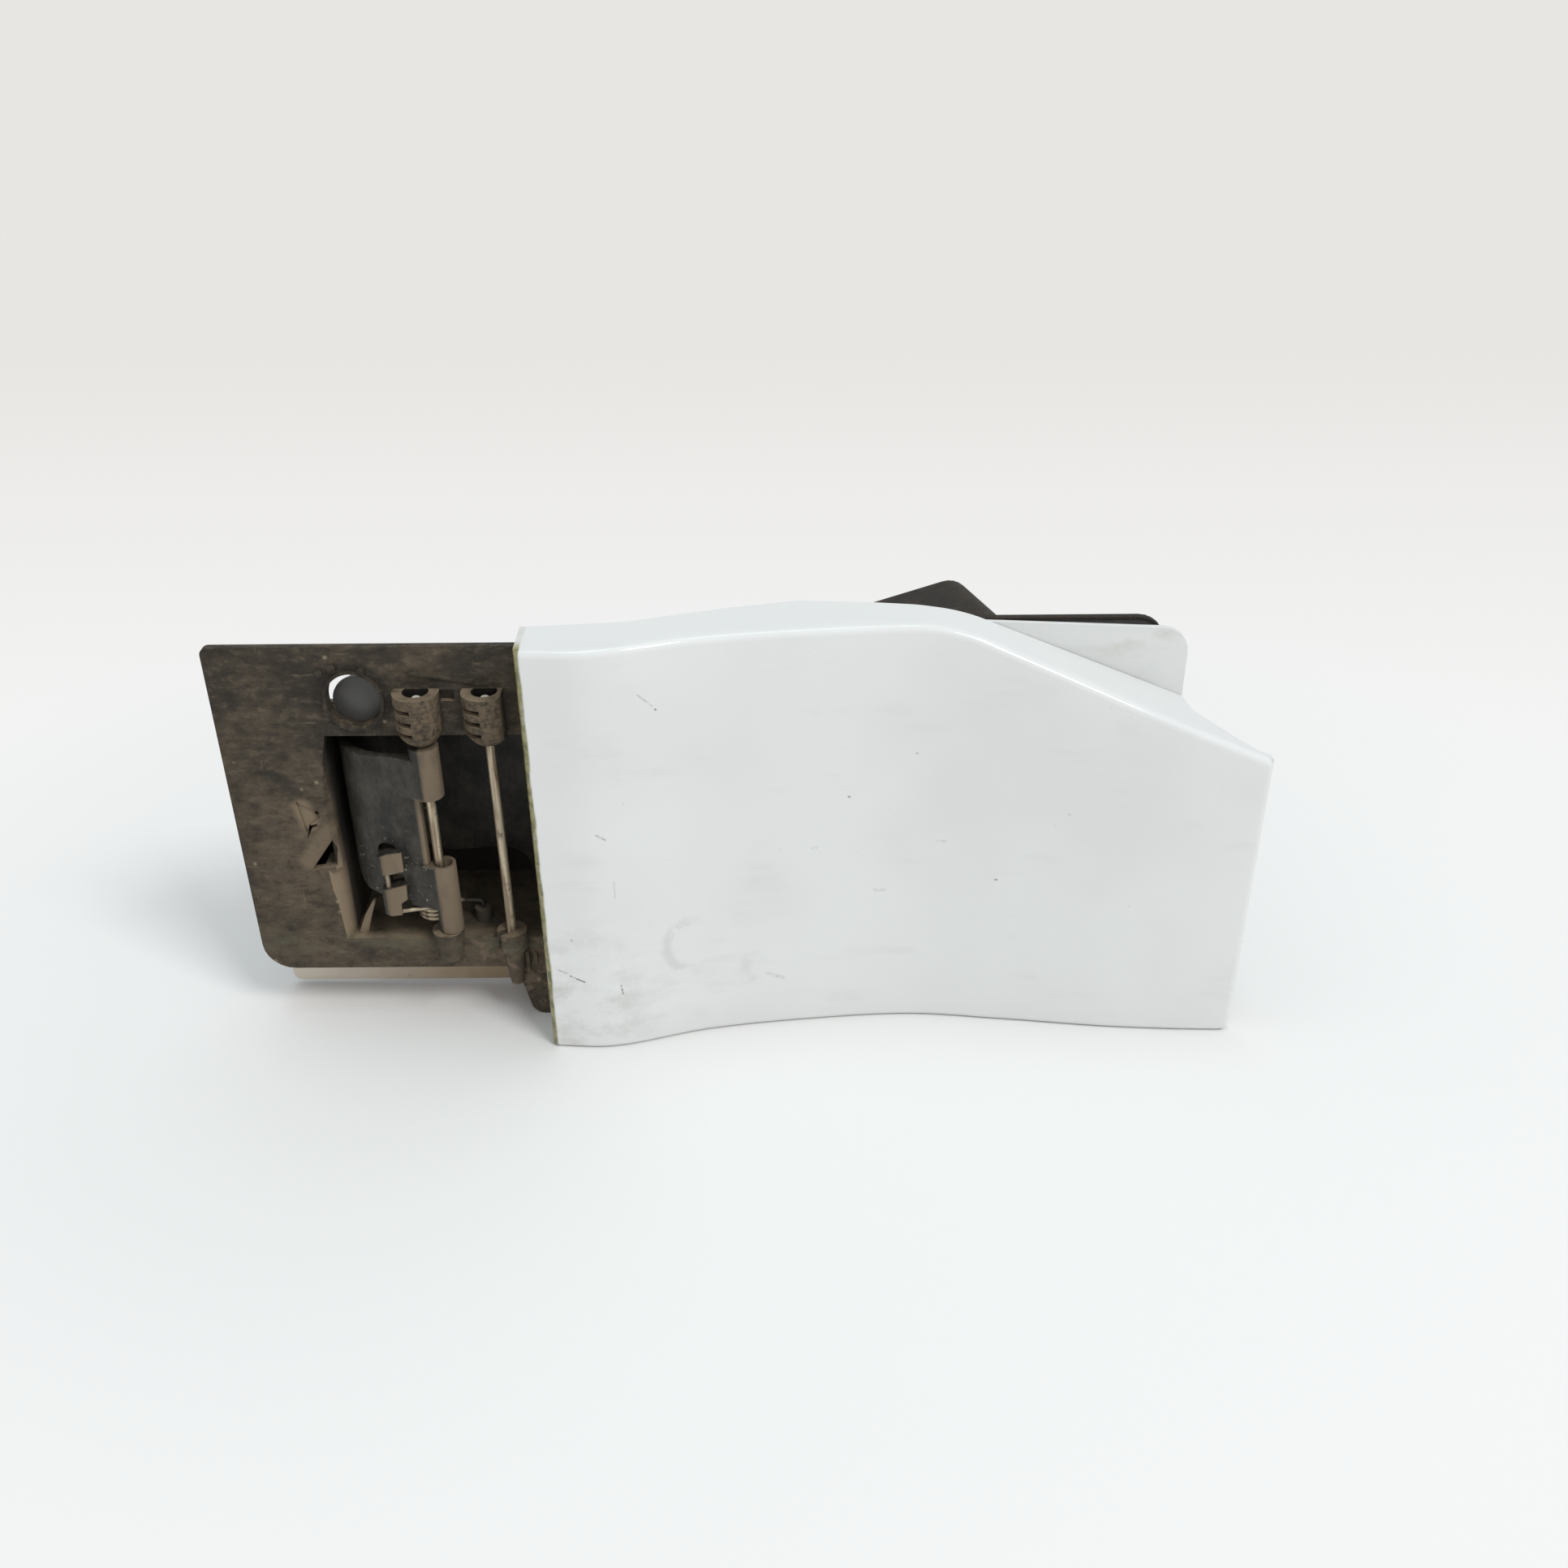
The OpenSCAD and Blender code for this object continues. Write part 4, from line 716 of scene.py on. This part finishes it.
def pin_wire(name, brightness):
    """Dull steel with brown streaks and dirt, a painted highlight at the pins' upper ends, and painted shade
    between the pin and the rod, where the spring's leg runs on inside the bay."""
    look = Look(name)
    x, _, z = look.axes()
    steel = srgb(*(brightness * np.array([204, 190, 166])))
    streak = look.noise(3, detail=4, stretch=(0.5, 0.5, 8))
    colour = look.mix(srgb(134, 118, 96), steel, streak.between(0.35, 0.65))
    dirt = look.noise(5, detail=4, shift=(2, 2, 2)).between(0.55, 0.75)
    colour = look.mix(colour, srgb(84, 72, 58), dirt)
    # painted highlight on the pins' upper ends, where the steel is not metallic
    tip_highlight = z.between(PIN_TOP - 0.9, PIN_TOP - 0.4)
    colour = look.mix(colour, srgb(214, 208, 196), tip_highlight * 0.9)
    # painted shade on the wire inside the bay, between the pin and the rod
    shade = x.between(PIN_X + 2, PIN_X + 4) * x.between(ROD_X - 4, ROD_X - 5)
    colour = look.mix(colour, srgb(34, 31, 27), shade * 0.95)
    bare = (1 - shade) * (1 - tip_highlight)
    look.set(base_color=colour, roughness=0.4 + dirt * 0.4, metallic=(0.75 - dirt * 0.6) * bare)
    look.bump(streak, 0.03)
    return look


def plain_rubber(name, colour, dust_colour, share):
    """Matt black foam or rubber with patches of dust."""
    look = Look(name)
    dust = look.noise(7, detail=5).between(0.45, 0.8)
    look.set(base_color=look.mix(colour, dust_colour, dust * share), roughness=0.8 + dust * 0.15)
    look.bump(look.noise(0.8, detail=3), 0.05)
    return look


def plug_moulding():
    """The disc behind the access hole: smooth dark grey with a little dust."""
    look = Look("plug_moulding")
    dust = look.noise(6, detail=4).between(0.5, 0.8)
    colour = look.mix(srgb(73, 72, 70), srgb(88, 82, 74), dust * 0.5)
    look.set(base_color=colour, roughness=0.42 + dust * 0.2)
    look.bump(look.noise(1.5), 0.01)
    return look


def plated_screw():
    """Bright plating, tarnished in patches."""
    look = Look("plated_screw", metallic=1.0)
    tarnish = look.noise(2, detail=4).between(0.4, 0.7)
    colour = look.mix(srgb(170, 168, 162), srgb(120, 110, 94), tarnish)
    look.set(base_color=colour, roughness=0.3 + tarnish * 0.3)
    return look


# Edges of the CAD nodes
NODE_WELD = 0.002
FLAT_ANGLE = math.radians(0.4)
CREASE_ANGLE = math.radians(32)


def soften(node, width):
    """Merges a CAD node's loose triangles and rounds its sharp edges to a width in mm, by modifiers
    alone. At width 0 the edges are only creased."""
    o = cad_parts[node]
    o.data.shade_smooth()
    weld = o.modifiers.new("weld", "WELD")
    weld.merge_threshold = NODE_WELD * MM
    if width:
        flat = o.modifiers.new("flat_faces", "DECIMATE")
        flat.decimate_type = "DISSOLVE"
        flat.angle_limit = FLAT_ANGLE
        bevel = o.modifiers.new("edges", "BEVEL")
        bevel.width = width * MM
        bevel.segments = 2
        bevel.limit_method = "ANGLE"
        bevel.angle_limit = CREASE_ANGLE
        bevel.harden_normals = True
        bevel.miter_outer = "MITER_ARC"
    else:
        crease = o.modifiers.new("crease", "EDGE_SPLIT")
        crease.split_angle = CREASE_ANGLE
    return o


def dress_pieces():
    """Gives every piece its shape and its material."""
    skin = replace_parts(flap_skin(), "outer_skin")
    white_gloss_paint().put(skin)
    spring = hinge_spring()
    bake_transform(spring)
    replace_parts(spring, "torsion_spring")
    pin_wire("spring_wire", 0.95).put(spring)
    pin_wire("pin_wire", 1.0).put(soften("hinge_pin", 0), soften("anchor_rod", 0))
    dusty_moulding().put(soften("pocket_housing", 0.3))
    arm_moulding().put(soften("hinge_arm", 0.4))
    inner_white_paint().put(soften("inner_panel", 0.3))
    plain_rubber("seal_foam", srgb(22, 22, 22), srgb(70, 62, 52), 0.4).put(soften("rim_seal", 0.4))
    plain_rubber("boot_rubber", srgb(34, 34, 34), srgb(84, 76, 66), 0.5).put(
        soften("neck_boot", 0.4), soften("buffer_upper", 0.3), soften("buffer_lower", 0.3))
    plug_moulding().put(soften("access_plug", 0.25))
    plated_screw().put(*(soften(n, 0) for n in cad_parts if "screw" in n))


# Scene, in metres and degrees
CAMERA_AT = (-0.030, -0.490, 0.287)
CAMERA_PITCH = 31
CAMERA_ROLL = -0.46
FOCAL_PX = 1950
FRAME_PX = 1932
SENSOR_MM = 36
FLOOR_HALF = 12
LAMPS_AIM_AT = (-0.04, -0.03, 0)
WORLD_COLOUR = (0.985, 0.992, 1)
WORLD_STRENGTH = 0.68

# The floor round the part, in millimetres: the middle of the shadow, the oval's reach, from where its
# light begins to give way to the even tone to where it is gone, how much shorter the oval is in depth,
# and where the even tone turns from the near one to the far one
SHADOW_X, SHADOW_Y = -40, -30
SHADOW_REACH = (230, 480)
SHADOW_SQUEEZE = 1.6
TONE_TURN = (-150, 900)


def add_camera():
    """The photograph's view: above the table and to the front, looking down, with a slight roll."""
    lens = bpy.data.cameras.new("camera")
    lens.sensor_width = SENSOR_MM
    lens.lens = SENSOR_MM * FOCAL_PX / FRAME_PX
    lens.clip_start, lens.clip_end = 0.01, 60
    camera = bpy.data.objects.new("camera", lens)
    tilt = Matrix.Rotation(math.radians(90 - CAMERA_PITCH), 4, "X")
    roll = Matrix.Rotation(math.radians(CAMERA_ROLL), 4, "Z")
    camera.matrix_world = Matrix.Translation(CAMERA_AT) @ tilt @ roll
    bpy.context.scene.collection.objects.link(camera)
    bpy.context.scene.camera = camera


def floor_paint():
    """The floor as it is lit round the part, within the shadow's reach. Past that, camera, glossy and
    transmission rays see an even pale tone, a little darker towards the back."""
    look = Look("floor", roughness=0.8, base_color=srgb(232, 232, 231), specular_ior_level=0.1)
    dx, dy = look.axis("X") - SHADOW_X, look.axis("Y") - SHADOW_Y
    far = (dx * dx + dy * dy * SHADOW_SQUEEZE).root().between(*SHADOW_REACH)
    camera_ray, glossy_ray, clear_ray = (look.node("ShaderNodeLightPath", output=f"Is {kind} Ray")
                                         for kind in ("Camera", "Glossy", "Transmission"))
    seen = camera_ray.greater(glossy_ray).greater(clear_ray)
    near_tone, back_tone = (look.node("ShaderNodeEmission", inputs={"Color": tone, "Strength": 1.0})
                            for tone in (srgb(246, 247, 247), srgb(232, 230, 227)))
    turn = dy.between(*TONE_TURN)
    even = look.node("ShaderNodeMixShader", inputs={0: turn, 1: near_tone, 2: back_tone})
    lit = Value(look, look.surface.outputs[0])
    both = look.node("ShaderNodeMixShader", inputs={0: far * seen, 1: lit, 2: even})
    look.feed(look.tree.nodes["Material Output"].inputs["Surface"], both)
    return look


def add_floor():
    """A level floor at the part's foot."""
    mesh = bpy.data.meshes.new("floor")
    z = float(TABLE_Z) * MM
    corners = [(-1, -1), (1, -1), (1, 1), (-1, 1)]
    mesh.from_pydata([(x * FLOOR_HALF, y * FLOOR_HALF, z) for x, y in corners], [], [[0, 1, 2, 3]])
    floor = bpy.data.objects.new("floor", mesh)
    bpy.context.scene.collection.objects.link(floor)
    floor_paint().put(floor)


def add_lamp(name, at, size, power, colour):
    """A square soft lamp that looks at the middle of the object."""
    data = bpy.data.lights.new(name, "AREA")
    data.shape, data.size, data.energy, data.color = "SQUARE", size, power, colour
    lamp = bpy.data.objects.new(name, data)
    away = Vector(at) - Vector(LAMPS_AIM_AT)
    lamp.location = at
    lamp.rotation_mode = "QUATERNION"
    lamp.rotation_quaternion = away.to_track_quat("Z", "Y")
    bpy.context.scene.collection.objects.link(lamp)


def add_lights():
    """A key lamp from the front right, a weak cool one from above, and an even pale sky."""
    add_lamp("key", at=(2.0, -2.1, 3.5), size=1.3, power=92, colour=(1, 0.99, 0.975))
    add_lamp("top", at=(-0.2, 0.1, 4.2), size=1.6, power=24, colour=(0.7, 0.94, 1))
    world = bpy.data.worlds.new("world")
    world.use_nodes = True
    bpy.context.scene.world = world
    back = world.node_tree.nodes["Background"]
    back.inputs["Color"].default_value = (*WORLD_COLOUR, 1)
    back.inputs["Strength"].default_value = WORLD_STRENGTH


bpy.context.scene.view_settings.view_transform = "Standard"
dress_pieces()
add_floor()
add_camera()
add_lights()
